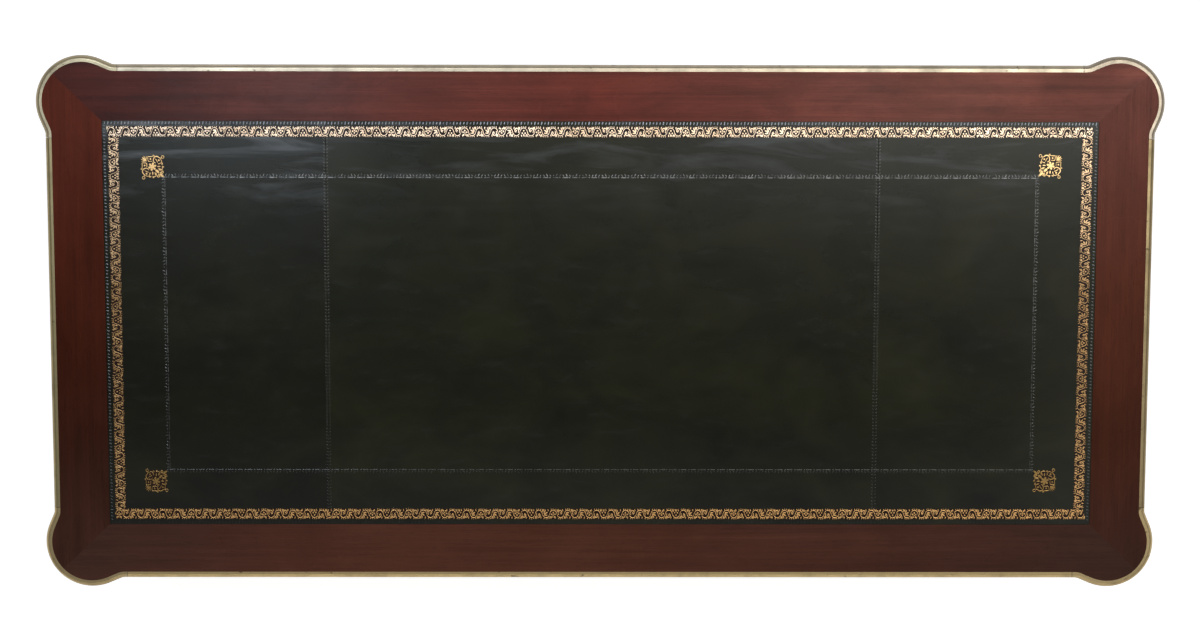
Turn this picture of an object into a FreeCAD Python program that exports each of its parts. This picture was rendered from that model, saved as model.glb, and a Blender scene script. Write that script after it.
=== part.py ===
"""Flat writing desk in millimetres: leather-lined mahogany top, brass edge, three drawers and turned legs.

+Z is up, the origin is on the floor under the middle of the top, +X runs along the desk and the drawers
open towards -Y. Every piece is a separate solid, and pieces that fit share the same named sizes.
"""

import FreeCAD
import Part
import math
import os

os.makedirs("parts", exist_ok=True)

# Overall size of the desk, with the top measured between its straight edges
DESK_HEIGHT = 770.0
TOP_LENGTH = 1774.0
TOP_DEPTH = 834.0
TOP_THICKNESS = 26.0
FRIEZE_HEIGHT = 144.0

# Round corners of the top, which fall back to the straight edges in a slope and a hollow sweep
CORNER_RADIUS = 74.0
CORNER_PROJECTION = 14.5
CORNER_SLOPE_ANGLE = 23.0
CORNER_SWEEP_RADIUS = 16.0
CORNER_TAIL = 5.0

# Brass moulding round the edge of the top, and the pins that hold it
EDGE_WIDTH = 10.4
EDGE_HEIGHT = 24.0
EDGE_FLAT = 3.8
EDGE_STEP = 0.6
EDGE_FILLET = 3.0
EDGE_QUIRK = 1.5
EDGE_FOOT_WIDTH = 3.5
EDGE_FOOT_HEIGHT = 5.0
EDGE_JOINT_GAP = 0.8
PIN_RADIUS = 0.8
PIN_LENGTH = 22.0
LONG_EDGE_PINS = 8
SHORT_EDGE_PINS = 3
CORNER_PIN_ANGLES = (15.0, 75.0)

# Wooden border and core of the top, and the three skins of leather let into it
END_BORDER = 80.0
SIDE_BORDER = 79.0
LEATHER_THICKNESS = 1.5
LEFT_JOIN = 440.0
RIGHT_JOIN = 444.0
TONGUE_THICKNESS = 8.0
TONGUE_LENGTH = 10.0

# Posts, aprons and rails of the frieze
FRIEZE_SETBACK = 29.0
POST_RADIUS = 50.0
APRON_THICKNESS = 22.0
RAIL_DEPTH = 58.0
RAIL_HEIGHT = 18.0
RAIL_END_TO_POST_AXIS = 30.0
DIVIDER_WIDTH = 22.0
CENTRE_OPENING = 620.0
POST_CLEARANCE = 0.5
TENON_LENGTH = 10.0
TENON_SHARE = 0.45

# Flutes of the posts
POST_FLUTE_RADIUS = 6.0
POST_FLUTE_MARGIN = 26.0
POST_FLUTE_ANGLES = (-75.0, -50.0, -25.0, 0.0, 25.0, 50.0, 75.0)
FLUTE_OUT_SHARE = 0.3

# Turned legs below the frieze, from the capital down to the spigot in the foot
OVOLO_HEIGHT = 11.0
OVOLO_LOW_RADIUS = 40.0
UPPER_FILLET_RADIUS = 38.0
UPPER_FILLET_HEIGHT = 4.0
NECK_RADIUS = 32.0
NECK_HEIGHT = 15.0
TORUS_RADIUS = 43.0
TORUS_END_RADIUS = 37.0
TORUS_HEIGHT = 18.0
LOWER_FILLET_RADIUS = 38.5
LOWER_FILLET_HEIGHT = 4.0
SHAFT_TOP_RADIUS = 36.0
SHAFT_BOTTOM_RADIUS = 22.5
FOOT_FILLET_RADIUS = 25.0
FOOT_FILLET_HEIGHT = 5.0
FOOT_NECK_RADIUS = 20.0
FOOT_NECK_HEIGHT = 13.0
SPIGOT_RADIUS = 13.0
SPIGOT_LENGTH = 46.0

# Flutes of the legs and the brass reeds that fill their lower part
FLUTE_COUNT = 12
FLUTE_MARGIN = 26.0
FLUTE_RADIUS_SHARE = 0.175
REED_RADIUS_SHARE = 0.45
REED_LENGTH = 150.0

# Brass feet and rings
SABOT_HEIGHT = 62.0
SABOT_BASE_RADIUS = 15.0
SABOT_PAD_HEIGHT = 5.0
SABOT_BELLY_RADIUS = 27.0
SABOT_BELLY_HEIGHT = 44.0
SABOT_WAIST_RADIUS = 22.5
SABOT_RIM_RADIUS = 26.0
SABOT_RIM_HEIGHT = 6.0
RING_BAND = 1.0
RING_DEPTH = 5.5
RING_HEIGHT = 9.0
POST_RING_DEPTH = 3.0
POST_RING_HEIGHT = 9.0
SEAT_CLEARANCE = 0.05

# Brass frames laid on the drawer fronts and aprons
FRAME_WIDTH = 9.0
FRAME_HEIGHT = 4.0
FRAME_INSET = 8.0

# Runners, guides, kickers and stops behind the drawers
RUNNER_WIDTH = 28.0
GUIDE_WIDTH = 18.0
GUIDE_RISE = 22.0
GUIDE_POST_GAP = 6.0
STOP_WIDTH = 30.0
STOP_LENGTH = 20.0
STOP_HEIGHT = 4.0
STOP_PLACE_SHARES = (0.2, 0.8)

# Screws that hold the top down to the kickers
SCREW_RADIUS = 2.2
SCREW_HEAD_RADIUS = 4.5
SCREW_HEAD_HEIGHT = 3.0
SCREW_BITE = 16.0
SCREW_TIP = 5.0
SCREW_PLACE_SHARES = (0.2, 0.8)

# Drawers
DRAWER_GAP = 1.0
DRAWER_BACK_ROOM = 114.0
DRAWER_FRONT_THICKNESS = 22.0
DRAWER_SIDE_THICKNESS = 12.0
DRAWER_SIDE_HEIGHT = 92.0
DRAWER_BACK_THICKNESS = 12.0
DRAWER_BACK_DROP = 4.0
DRAWER_BOTTOM_THICKNESS = 8.0
DRAWER_BOTTOM_RISE = 6.0
DRAWER_BOTTOM_GROOVE = 6.0
RUNNING_GAP = 0.3
TAIL_COUNT = 4
TAIL_LENGTH = 14.0
TAIL_ROOT_SHARE = 0.42
TAIL_TIP_SHARE = 0.66

# Drawer locks, whose bolts rise into the top rail as the keys turn
LOCK_WIDTH = 50.0
LOCK_HEIGHT = 52.0
LOCK_DEPTH = 11.0
LOCK_PLATE = 1.5
KEY_AXIS_DROP = 35.0
BOLT_WIDTH = 12.0
BOLT_THICKNESS = 5.0
BOLT_OFFSET = 3.0
BOLT_TAIL = 14.0
BOLT_THROW = 11.0
BOLT_CLEARANCE = 0.4
NOTCH_HEIGHT = 5.0
NOTCH_DEPTH = 5.0
STRIKE_CLEARANCE = 0.6
STRIKE_SPARE_DEPTH = 1.5

# Keys and escutcheons
KEY_RADIUS = 2.5
KEY_CLEARANCE = 0.4
KEY_BIT_THICKNESS = 2.0
KEY_BIT_ROOM = 1.0
KEY_SHANK_OUT = 11.0
KEY_COLLAR_RADIUS = 4.0
KEY_COLLAR_WIDTH = 2.0
KEY_COLLAR_GAP = 0.8
KEY_BOW_RADIUS = 7.0
KEY_BOW_WIRE = 1.9
ESCUTCHEON_WIDTH = 22.0
ESCUTCHEON_HEIGHT = 34.0
ESCUTCHEON_THICKNESS = 1.5

# Length by which every cutting shape runs past what it cuts
OVERRUN = 5.0

# Levels and places that follow from the sizes above
TOP_LOW = DESK_HEIGHT - TOP_THICKNESS
FRIEZE_LOW = TOP_LOW - FRIEZE_HEIGHT
OPENING_LOW = FRIEZE_LOW + RAIL_HEIGHT
OPENING_HIGH = TOP_LOW - RAIL_HEIGHT
CORNER_REACH = CORNER_RADIUS - CORNER_PROJECTION
POST_X = TOP_LENGTH / 2 - CORNER_REACH
POST_Y = TOP_DEPTH / 2 - CORNER_REACH
LEATHER_X = TOP_LENGTH / 2 - EDGE_WIDTH - END_BORDER
LEATHER_Y = TOP_DEPTH / 2 - EDGE_WIDTH - SIDE_BORDER
FACE_X = TOP_LENGTH / 2 - FRIEZE_SETBACK
FACE_Y = TOP_DEPTH / 2 - FRIEZE_SETBACK
RAIL_END_X = POST_X - RAIL_END_TO_POST_AXIS
RAIL_BACK_Y = RAIL_DEPTH - FACE_Y
APRON_INNER_Y = FACE_Y - APRON_THICKNESS
OPENING_END_X = POST_X - POST_RADIUS - POST_CLEARANCE
DIVIDER_INNER_X = CENTRE_OPENING / 2
DIVIDER_OUTER_X = DIVIDER_INNER_X + DIVIDER_WIDTH

ORIGIN = FreeCAD.Vector(0, 0, 0)
X_AXIS = FreeCAD.Vector(1, 0, 0)
Y_AXIS = FreeCAD.Vector(0, 1, 0)
Z_AXIS = FreeCAD.Vector(0, 0, 1)
HALF_TURN = 180.0
QUARTER_TURN = 90.0
ROUND_MID_SHARE = math.sqrt(0.5)

# Each corner's name, its turn from the back right corner, and the sides of the desk that it is on
CORNERS = (
    ("back_right", 0.0, 1, 1),
    ("back_left", 90.0, -1, 1),
    ("front_left", 180.0, -1, -1),
    ("front_right", 270.0, 1, -1),
)

# Each drawer's name and the two ends of its opening
DRAWERS = (
    ("left", -OPENING_END_X, -DIVIDER_OUTER_X),
    ("centre", -DIVIDER_INNER_X, DIVIDER_INNER_X),
    ("right", DIVIDER_OUTER_X, OPENING_END_X),
)


def box(x_limits, y_limits, z_limits):
    """Box between two limits on each axis."""
    low = FreeCAD.Vector(min(x_limits), min(y_limits), min(z_limits))
    high = FreeCAD.Vector(max(x_limits), max(y_limits), max(z_limits))
    size = high - low
    return Part.makeBox(size.x, size.y, size.z, low)


def outline_face(points, place):
    """Face inside an outline of points, where an item of two points is an arc's middle and its end.

    place turns each flat point into a point in space.
    """
    start = place(*points[0])
    here = start
    edges = []
    for item in points[1:]:
        if isinstance(item[0], tuple):
            end = place(*item[1])
            edges.append(Part.Arc(here, place(*item[0]), end).toShape())
        else:
            end = place(*item)
            edges.append(Part.LineSegment(here, end).toShape())
        here = end
    edges.append(Part.LineSegment(here, start).toShape())
    return Part.Face(Part.Wire(edges))


def turned(points):
    """Solid turned about the Z axis from a profile of radii and heights."""
    face = outline_face(points, lambda radius, height: FreeCAD.Vector(radius, 0, height))
    return face.revolve(ORIGIN, Z_AXIS, 2 * HALF_TURN)


def prism(points, low, high):
    """Upright prism over a flat outline."""
    face = outline_face(points, lambda x, y: FreeCAD.Vector(x, y, low))
    return face.extrude(Z_AXIS * (high - low))


def turned_to(shape, angle):
    """Copy of a shape, turned about the Z axis."""
    copy = shape.copy()
    copy.rotate(ORIGIN, Z_AXIS, angle)
    return copy


def moved(shape, x, y, z):
    """Copy of a shape, moved."""
    copy = shape.copy()
    copy.translate(FreeCAD.Vector(x, y, z))
    return copy


def mirrored_pair(shape):
    """A shape and its mirror image on the other end of the desk."""
    return [shape, shape.mirror(ORIGIN, X_AXIS)]


def spread(low, high, shares):
    """Places at the given shares of the way between two limits."""
    return [low + (high - low) * share for share in shares]


def evenly(length, count):
    """Places of evenly spaced things, centred on zero."""
    return [length * ((index + 0.5) / count - 0.5) for index in range(count)]


def write(node, solids):
    """Write one node's solids to its file."""
    shape = solids[0] if len(solids) == 1 else Part.Compound(solids)
    shape.exportStep("parts/" + node + ".step")


# Plan of the round corners, about the axis of the post under the back right corner
SLOPE_SINE_SHARE = math.sin(math.radians(CORNER_SLOPE_ANGLE))
SLOPE_COSINE_SHARE = math.cos(math.radians(CORNER_SLOPE_ANGLE))
SWEEP_AXIS = CORNER_REACH + CORNER_SWEEP_RADIUS
SWEEP_RUN = (CORNER_RADIUS + CORNER_SWEEP_RADIUS - SWEEP_AXIS * SLOPE_COSINE_SHARE) / SLOPE_SINE_SHARE
SLOPE_LENGTH = SWEEP_RUN * SLOPE_COSINE_SHARE - SWEEP_AXIS * SLOPE_SINE_SHARE
CORNER_RUN = SWEEP_RUN + CORNER_TAIL


def on_circle(axis, radius, angle):
    """Flat point on a circle."""
    turn = math.radians(angle)
    return (axis[0] + radius * math.cos(turn), axis[1] + radius * math.sin(turn))


def corner_points(inset):
    """Outline of the back right corner, inset from the brass edge: sweep, slope, round, slope, sweep."""
    radius = CORNER_RADIUS - inset
    sweep = CORNER_SWEEP_RADIUS + inset
    middle = (0, 0)
    first = (SWEEP_AXIS, -SWEEP_RUN)
    last = (-SWEEP_RUN, SWEEP_AXIS)
    slope = CORNER_SLOPE_ANGLE
    return [
        on_circle(first, sweep, HALF_TURN),
        (on_circle(first, sweep, HALF_TURN - slope / 2), on_circle(first, sweep, HALF_TURN - slope)),
        on_circle(middle, radius, -slope),
        (on_circle(middle, radius, QUARTER_TURN / 2), on_circle(middle, radius, QUARTER_TURN + slope)),
        on_circle(last, sweep, slope - QUARTER_TURN),
        (on_circle(last, sweep, slope / 2 - QUARTER_TURN), on_circle(last, sweep, -QUARTER_TURN)),
    ]


def top_slab():
    """The whole wooden top inside its brass edge, before it is divided into boards."""

    def to_corner(point, turn, x_side, y_side):
        """Point of the back right corner, taken round to another corner."""
        angle = math.radians(turn)
        x = point[0] * math.cos(angle) - point[1] * math.sin(angle)
        y = point[0] * math.sin(angle) + point[1] * math.cos(angle)
        return (x + x_side * POST_X, y + y_side * POST_Y)

    points = []
    for _, turn, x_side, y_side in CORNERS:
        for item in corner_points(EDGE_WIDTH):
            if isinstance(item[0], tuple):
                points.append(tuple(to_corner(point, turn, x_side, y_side) for point in item))
            else:
                points.append(to_corner(item, turn, x_side, y_side))
    return prism(points, TOP_LOW, DESK_HEIGHT)


def core_panel():
    """Core under the leather, with a tongue all round that enters the border."""
    middle = DESK_HEIGHT - TOP_THICKNESS / 2
    panel_z = (TOP_LOW, DESK_HEIGHT - LEATHER_THICKNESS)
    panel = box((-LEATHER_X, LEATHER_X), (-LEATHER_Y, LEATHER_Y), panel_z)
    tongue_x = LEATHER_X + TONGUE_LENGTH
    tongue_y = LEATHER_Y + TONGUE_LENGTH
    tongue_z = (middle - TONGUE_THICKNESS / 2, middle + TONGUE_THICKNESS / 2)
    return panel.fuse(box((-tongue_x, tongue_x), (-tongue_y, tongue_y), tongue_z)).removeSplitter()


def border_boards(core, pins):
    """Four border boards, mitred on the line from the leather's corners to the middle of the rounds."""
    far_x = TOP_LENGTH / 2 + CORNER_PROJECTION + OVERRUN
    far_y = LEATHER_Y + (far_x - LEATHER_X) * (POST_Y - LEATHER_Y) / (POST_X - LEATHER_X)
    end = [(LEATHER_X, -LEATHER_Y), (far_x, -far_y), (far_x, far_y), (LEATHER_X, LEATHER_Y)]
    side = [
        (LEATHER_X, LEATHER_Y),
        (far_x, far_y),
        (far_x, TOP_DEPTH),
        (-far_x, TOP_DEPTH),
        (-far_x, far_y),
        (-LEATHER_X, LEATHER_Y),
    ]
    slab = top_slab()
    boards = {}
    for name, outline, turn in (("right", end, 0), ("back", side, 0), ("left", end, 1), ("front", side, 1)):
        cutter = turned_to(prism(outline, TOP_LOW - OVERRUN, DESK_HEIGHT + OVERRUN), turn * HALF_TURN)
        boards["top_border_" + name] = slab.common(cutter).cut([core] + pins)
    return boards


def leather_skins():
    """Three skins of leather, flush with the border."""
    skins = {}
    joins = (-LEATHER_X, -LEFT_JOIN, RIGHT_JOIN, LEATHER_X)
    for index, name in enumerate(("left", "centre", "right")):
        limits = (joins[index], joins[index + 1])
        skins["leather_" + name] = box(
            limits, (-LEATHER_Y, LEATHER_Y), (DESK_HEIGHT - LEATHER_THICKNESS, DESK_HEIGHT)
        )
    return skins


def edge_section():
    """Section of the brass edge: distance out from the wood, and height."""
    round_radius = EDGE_WIDTH - EDGE_FLAT
    round_high = DESK_HEIGHT - EDGE_STEP
    round_low = round_high - round_radius
    fillet_low = round_low - EDGE_FILLET
    low = DESK_HEIGHT - EDGE_HEIGHT
    foot_high = low + EDGE_FOOT_HEIGHT
    cove_out = EDGE_WIDTH - EDGE_QUIRK
    cove_width = cove_out - EDGE_FOOT_WIDTH
    cove_height = fillet_low - foot_high
    round_middle = (EDGE_FLAT + round_radius * ROUND_MID_SHARE, round_low + round_radius * ROUND_MID_SHARE)
    cove_middle = (cove_out - cove_width * ROUND_MID_SHARE, foot_high + cove_height * ROUND_MID_SHARE)
    return [
        (0, DESK_HEIGHT),
        (EDGE_FLAT, DESK_HEIGHT),
        (EDGE_FLAT, round_high),
        (round_middle, (EDGE_WIDTH, round_low)),
        (EDGE_WIDTH, fillet_low),
        (cove_out, fillet_low),
        (cove_middle, (EDGE_FOOT_WIDTH, foot_high)),
        (EDGE_FOOT_WIDTH, low),
        (0, low),
    ]


def straight_edge(wood_y, start_x, end_x):
    """Straight length of brass edge along X, facing +Y."""
    face = outline_face(edge_section(), lambda out, height: FreeCAD.Vector(start_x, wood_y + out, height))
    return face.extrude(X_AXIS * (end_x - start_x))


def bent_edge(axis, wood_radius, side, start, sweep):
    """Length of brass edge about a vertical axis; side is 1 round the outside and -1 round a hollow."""
    face = outline_face(
        edge_section(), lambda out, height: FreeCAD.Vector(wood_radius + side * out, 0, height)
    )
    bend = turned_to(face.revolve(ORIGIN, Z_AXIS, sweep), start)
    return moved(bend, axis[0], axis[1], 0)


def corner_edge():
    """Brass edge of the back right corner, in one piece with a short straight tail at each end."""
    hollow_wood = CORNER_SWEEP_RADIUS + EDGE_WIDTH
    wood_y = CORNER_REACH - EDGE_WIDTH
    round_wood = CORNER_RADIUS - EDGE_WIDTH
    slope = CORNER_SLOPE_ANGLE
    tail_start = EDGE_JOINT_GAP / 2 - CORNER_RUN
    round_part = bent_edge((0, 0), round_wood, 1, -slope, QUARTER_TURN + 2 * slope)
    lengths = [
        turned_to(straight_edge(wood_y, SWEEP_RUN, -tail_start), -QUARTER_TURN),
        bent_edge((SWEEP_AXIS, -SWEEP_RUN), hollow_wood, -1, HALF_TURN - slope, slope),
        turned_to(straight_edge(round_wood, 0, SLOPE_LENGTH), -QUARTER_TURN - slope),
        turned_to(straight_edge(round_wood, -SLOPE_LENGTH, 0), slope),
        bent_edge((-SWEEP_RUN, SWEEP_AXIS), hollow_wood, -1, -QUARTER_TURN, slope),
        straight_edge(wood_y, tail_start, -SWEEP_RUN),
    ]
    return round_part.fuse(lengths).removeSplitter()


def edge_pins():
    """Pins driven level through the brass edge into the border."""
    level = DESK_HEIGHT - EDGE_STEP - EDGE_WIDTH + EDGE_FLAT - EDGE_FILLET / 2
    pin = Part.makeCylinder(PIN_RADIUS, PIN_LENGTH, FreeCAD.Vector(0, 0, level), -Y_AXIS)
    pins = []
    for turn in (0, HALF_TURN):
        for place in evenly(2 * (POST_X - CORNER_RUN), LONG_EDGE_PINS):
            pins.append(turned_to(moved(pin, place, TOP_DEPTH / 2, 0), turn))
        for place in evenly(2 * (POST_Y - CORNER_RUN), SHORT_EDGE_PINS):
            pins.append(turned_to(moved(pin, place, TOP_LENGTH / 2, 0), turn - QUARTER_TURN))
    for _, turn, x_side, y_side in CORNERS:
        for angle in CORNER_PIN_ANGLES:
            corner_pin = turned_to(moved(pin, 0, CORNER_RADIUS, 0), turn + angle - QUARTER_TURN)
            pins.append(moved(corner_pin, x_side * POST_X, y_side * POST_Y, 0))
    return pins


def edge_mouldings(pins):
    """Brass edge in four straight lengths and four corners."""
    mouldings = {}
    long_run = POST_X - CORNER_RUN - EDGE_JOINT_GAP / 2
    short_run = POST_Y - CORNER_RUN - EDGE_JOINT_GAP / 2
    long_edge = straight_edge(TOP_DEPTH / 2 - EDGE_WIDTH, -long_run, long_run)
    short_edge = straight_edge(TOP_LENGTH / 2 - EDGE_WIDTH, -short_run, short_run)
    mouldings["edge_moulding_back"] = long_edge.cut(pins)
    mouldings["edge_moulding_left"] = turned_to(short_edge, QUARTER_TURN).cut(pins)
    mouldings["edge_moulding_front"] = turned_to(long_edge, HALF_TURN).cut(pins)
    mouldings["edge_moulding_right"] = turned_to(short_edge, -QUARTER_TURN).cut(pins)
    corner = corner_edge()
    for name, turn, x_side, y_side in CORNERS:
        placed = moved(turned_to(corner, turn), x_side * POST_X, y_side * POST_Y, 0)
        mouldings["corner_moulding_" + name] = placed.cut(pins)
    return mouldings


# Levels of the turned leg, from the foot up to the frieze
SPIGOT_LOW = SABOT_HEIGHT - SPIGOT_LENGTH
FOOT_NECK_HIGH = SABOT_HEIGHT + FOOT_NECK_HEIGHT
SHAFT_LOW = FOOT_NECK_HIGH + FOOT_FILLET_HEIGHT
OVOLO_LOW = FRIEZE_LOW - OVOLO_HEIGHT
NECK_HIGH = OVOLO_LOW - UPPER_FILLET_HEIGHT
TORUS_HIGH = NECK_HIGH - NECK_HEIGHT
TORUS_LOW = TORUS_HIGH - TORUS_HEIGHT
SHAFT_HIGH = TORUS_LOW - LOWER_FILLET_HEIGHT
FLUTE_LOW = SHAFT_LOW + FLUTE_MARGIN
FLUTE_HIGH = SHAFT_HIGH - FLUTE_MARGIN


def shaft_radius(height):
    """Radius of the tapered shaft at a height."""
    share = (height - SHAFT_LOW) / (SHAFT_HIGH - SHAFT_LOW)
    return SHAFT_BOTTOM_RADIUS + (SHAFT_TOP_RADIUS - SHAFT_BOTTOM_RADIUS) * share


def round_ended_rod(low_point, low_radius, high_point, high_radius):
    """Tapered rod between two points, with a ball at each end."""
    run = high_point - low_point
    rod = Part.makeCone(low_radius, high_radius, run.Length, low_point, run)
    return rod.fuse([Part.makeSphere(low_radius, low_point), Part.makeSphere(high_radius, high_point)])


def flute_axis_point(height):
    """Point on the axis of a leg's flute, and the flute's radius there."""
    radius = shaft_radius(height)
    flute = radius * FLUTE_RADIUS_SHARE
    return FreeCAD.Vector(radius + flute * FLUTE_OUT_SHARE, 0, height), flute


def leg_flutes():
    """Shapes that cut the flutes of the tapered shaft."""
    low_point, low_radius = flute_axis_point(FLUTE_LOW)
    high_point, high_radius = flute_axis_point(FLUTE_HIGH)
    flute = round_ended_rod(low_point, low_radius, high_point, high_radius)
    return [turned_to(flute, index * 2 * HALF_TURN / FLUTE_COUNT) for index in range(FLUTE_COUNT)]


def leg_reeds():
    """Brass reeds of one leg, each lying in the bottom of its flute."""

    def seated(height):
        """Point on a reed's axis and the reed's radius there."""
        point, flute = flute_axis_point(height)
        reed = flute * REED_RADIUS_SHARE
        return point - X_AXIS * (flute - reed - SEAT_CLEARANCE), reed

    low_point, low_radius = seated(FLUTE_LOW)
    high_point, high_radius = seated(FLUTE_LOW + REED_LENGTH)
    reed = round_ended_rod(low_point, low_radius, high_point, high_radius)
    return [turned_to(reed, index * 2 * HALF_TURN / FLUTE_COUNT) for index in range(FLUTE_COUNT)]


def post_flutes():
    """Shapes that cut the upright flutes on the outer side of a back right post."""
    out = POST_RADIUS + POST_FLUTE_RADIUS * FLUTE_OUT_SHARE
    low_point = FreeCAD.Vector(out, 0, FRIEZE_LOW + POST_FLUTE_MARGIN)
    height = FRIEZE_HEIGHT - 2 * POST_FLUTE_MARGIN
    flute = Part.makeCylinder(POST_FLUTE_RADIUS, height, low_point, Z_AXIS)
    balls = [Part.makeSphere(POST_FLUTE_RADIUS, low_point)]
    balls.append(Part.makeSphere(POST_FLUTE_RADIUS, low_point + Z_AXIS * height))
    flute = flute.fuse(balls)
    return [turned_to(flute, QUARTER_TURN / 2 + angle) for angle in POST_FLUTE_ANGLES]


def leg_blank():
    """Post, capital, fluted shaft and foot spigot, turned in one piece about its own axis."""
    ovolo_out = POST_RADIUS - OVOLO_LOW_RADIUS
    ovolo_middle = (
        OVOLO_LOW_RADIUS + ovolo_out * ROUND_MID_SHARE,
        OVOLO_LOW + OVOLO_HEIGHT * (1 - ROUND_MID_SHARE),
    )
    torus_middle = (TORUS_RADIUS, (TORUS_LOW + TORUS_HIGH) / 2)
    blank = turned([
        (0, SPIGOT_LOW),
        (SPIGOT_RADIUS, SPIGOT_LOW),
        (SPIGOT_RADIUS, SABOT_HEIGHT),
        (FOOT_NECK_RADIUS, SABOT_HEIGHT),
        (FOOT_NECK_RADIUS, FOOT_NECK_HIGH),
        (FOOT_FILLET_RADIUS, FOOT_NECK_HIGH),
        (FOOT_FILLET_RADIUS, SHAFT_LOW),
        (SHAFT_BOTTOM_RADIUS, SHAFT_LOW),
        (SHAFT_TOP_RADIUS, SHAFT_HIGH),
        (LOWER_FILLET_RADIUS, SHAFT_HIGH),
        (LOWER_FILLET_RADIUS, TORUS_LOW),
        (TORUS_END_RADIUS, TORUS_LOW),
        (torus_middle, (TORUS_END_RADIUS, TORUS_HIGH)),
        (NECK_RADIUS, TORUS_HIGH),
        (NECK_RADIUS, NECK_HIGH),
        (UPPER_FILLET_RADIUS, NECK_HIGH),
        (UPPER_FILLET_RADIUS, OVOLO_LOW),
        (OVOLO_LOW_RADIUS, OVOLO_LOW),
        (ovolo_middle, (POST_RADIUS, FRIEZE_LOW)),
        (POST_RADIUS, TOP_LOW),
        (0, TOP_LOW),
    ])
    return blank.cut(leg_flutes() + post_flutes())


def sabot():
    """Brass foot with a blind bore for the leg's spigot."""
    bore = SPIGOT_RADIUS + SEAT_CLEARANCE
    rim_low = SABOT_HEIGHT - SABOT_RIM_HEIGHT
    belly_middle = (
        SABOT_BASE_RADIUS + (SABOT_BELLY_RADIUS - SABOT_BASE_RADIUS) * ROUND_MID_SHARE,
        SABOT_PAD_HEIGHT + (SABOT_BELLY_HEIGHT - SABOT_PAD_HEIGHT) / 2,
    )
    shoulder_middle = (
        SABOT_WAIST_RADIUS + (SABOT_BELLY_RADIUS - SABOT_WAIST_RADIUS) * ROUND_MID_SHARE,
        SABOT_BELLY_HEIGHT + (rim_low - SABOT_BELLY_HEIGHT) * ROUND_MID_SHARE,
    )
    return turned([
        (0, 0),
        (SABOT_BASE_RADIUS, 0),
        (SABOT_BASE_RADIUS, SABOT_PAD_HEIGHT),
        (belly_middle, (SABOT_BELLY_RADIUS, SABOT_BELLY_HEIGHT)),
        (shoulder_middle, (SABOT_WAIST_RADIUS, rim_low)),
        (SABOT_RIM_RADIUS, rim_low),
        (SABOT_RIM_RADIUS, SABOT_HEIGHT),
        (bore, SABOT_HEIGHT),
        (bore, SPIGOT_LOW),
        (0, SPIGOT_LOW),
    ])


def ring(seat_radius, depth, low, height):
    """Half-round brass ring about the Z axis, seated on a turned neck or post."""
    inner = seat_radius + SEAT_CLEARANCE
    band = inner + RING_BAND
    return turned([
        (inner, low),
        (band, low),
        ((inner + depth, low + height / 2), (band, low + height)),
        (inner, low + height),
    ])


def leg_rings(x_side, y_side):
    """Rings of one leg: round its neck and foot, and round the outer side of its post."""
    neck_low = (NECK_HIGH + TORUS_HIGH - RING_HEIGHT) / 2
    foot_low = SABOT_HEIGHT + (FOOT_NECK_HEIGHT - RING_HEIGHT) / 2
    rings = [
        ring(NECK_RADIUS, RING_DEPTH, neck_low, RING_HEIGHT),
        ring(FOOT_NECK_RADIUS, RING_DEPTH, foot_low, RING_HEIGHT),
    ]
    frieze = box((-FACE_X, FACE_X), (-FACE_Y, FACE_Y), (FRIEZE_LOW, TOP_LOW))
    frieze = moved(frieze, -x_side * POST_X, -y_side * POST_Y, 0)
    for low in (FRIEZE_LOW, TOP_LOW - POST_RING_HEIGHT):
        rings.append(ring(POST_RADIUS, POST_RING_DEPTH, low, POST_RING_HEIGHT).cut(frieze))
    return rings


def aprons():
    """Back and end boards of the frieze, housed in the posts."""
    height = (FRIEZE_LOW, TOP_LOW)
    end_y = POST_Y - RAIL_END_TO_POST_AXIS
    right = box((FACE_X - APRON_THICKNESS, FACE_X), (-end_y, end_y), height)
    return {
        "apron_back": box((-RAIL_END_X, RAIL_END_X), (APRON_INNER_Y, FACE_Y), height),
        "apron_right": right,
        "apron_left": right.mirror(ORIGIN, X_AXIS),
    }


def drawer_stiles():
    """Uprights of the front: two dividers tenoned into both rails, and two strips beside the posts."""
    tenon_width = DIVIDER_WIDTH * TENON_SHARE
    tenon_depth = RAIL_DEPTH * TENON_SHARE
    middle_x = (DIVIDER_INNER_X + DIVIDER_OUTER_X) / 2
    middle_y = (RAIL_BACK_Y - FACE_Y) / 2
    divider = box((DIVIDER_INNER_X, DIVIDER_OUTER_X), (-FACE_Y, RAIL_BACK_Y), (OPENING_LOW, OPENING_HIGH))
    tenon = box(
        (middle_x - tenon_width / 2, middle_x + tenon_width / 2),
        (middle_y - tenon_depth / 2, middle_y + tenon_depth / 2),
        (OPENING_LOW - TENON_LENGTH, OPENING_HIGH + TENON_LENGTH),
    )
    strip = box((OPENING_END_X, RAIL_END_X), (-FACE_Y, RAIL_BACK_Y), (OPENING_LOW, OPENING_HIGH))
    return mirrored_pair(divider.fuse(tenon).removeSplitter()) + mirrored_pair(strip)


def front_rails(stiles, bolts):
    """Rails over and under the drawers, mortised for the dividers and, above, for the lock bolts."""
    span = (-RAIL_END_X, RAIL_END_X)
    depth = (-FACE_Y, RAIL_BACK_Y)
    strikes = []
    for bolt in bolts:
        limits = bolt.BoundBox
        strikes.append(box(
            (limits.XMin - STRIKE_CLEARANCE, limits.XMax + STRIKE_CLEARANCE),
            (limits.YMin - STRIKE_CLEARANCE, limits.YMax + STRIKE_CLEARANCE),
            (OPENING_HIGH - OVERRUN, limits.ZMax + BOLT_THROW + STRIKE_SPARE_DEPTH),
        ))
    return {
        "front_top_rail": box(span, depth, (OPENING_HIGH, TOP_LOW)).cut(stiles + strikes),
        "front_bottom_rail": box(span, depth, (FRIEZE_LOW, OPENING_LOW)).cut(stiles),
    }


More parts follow.
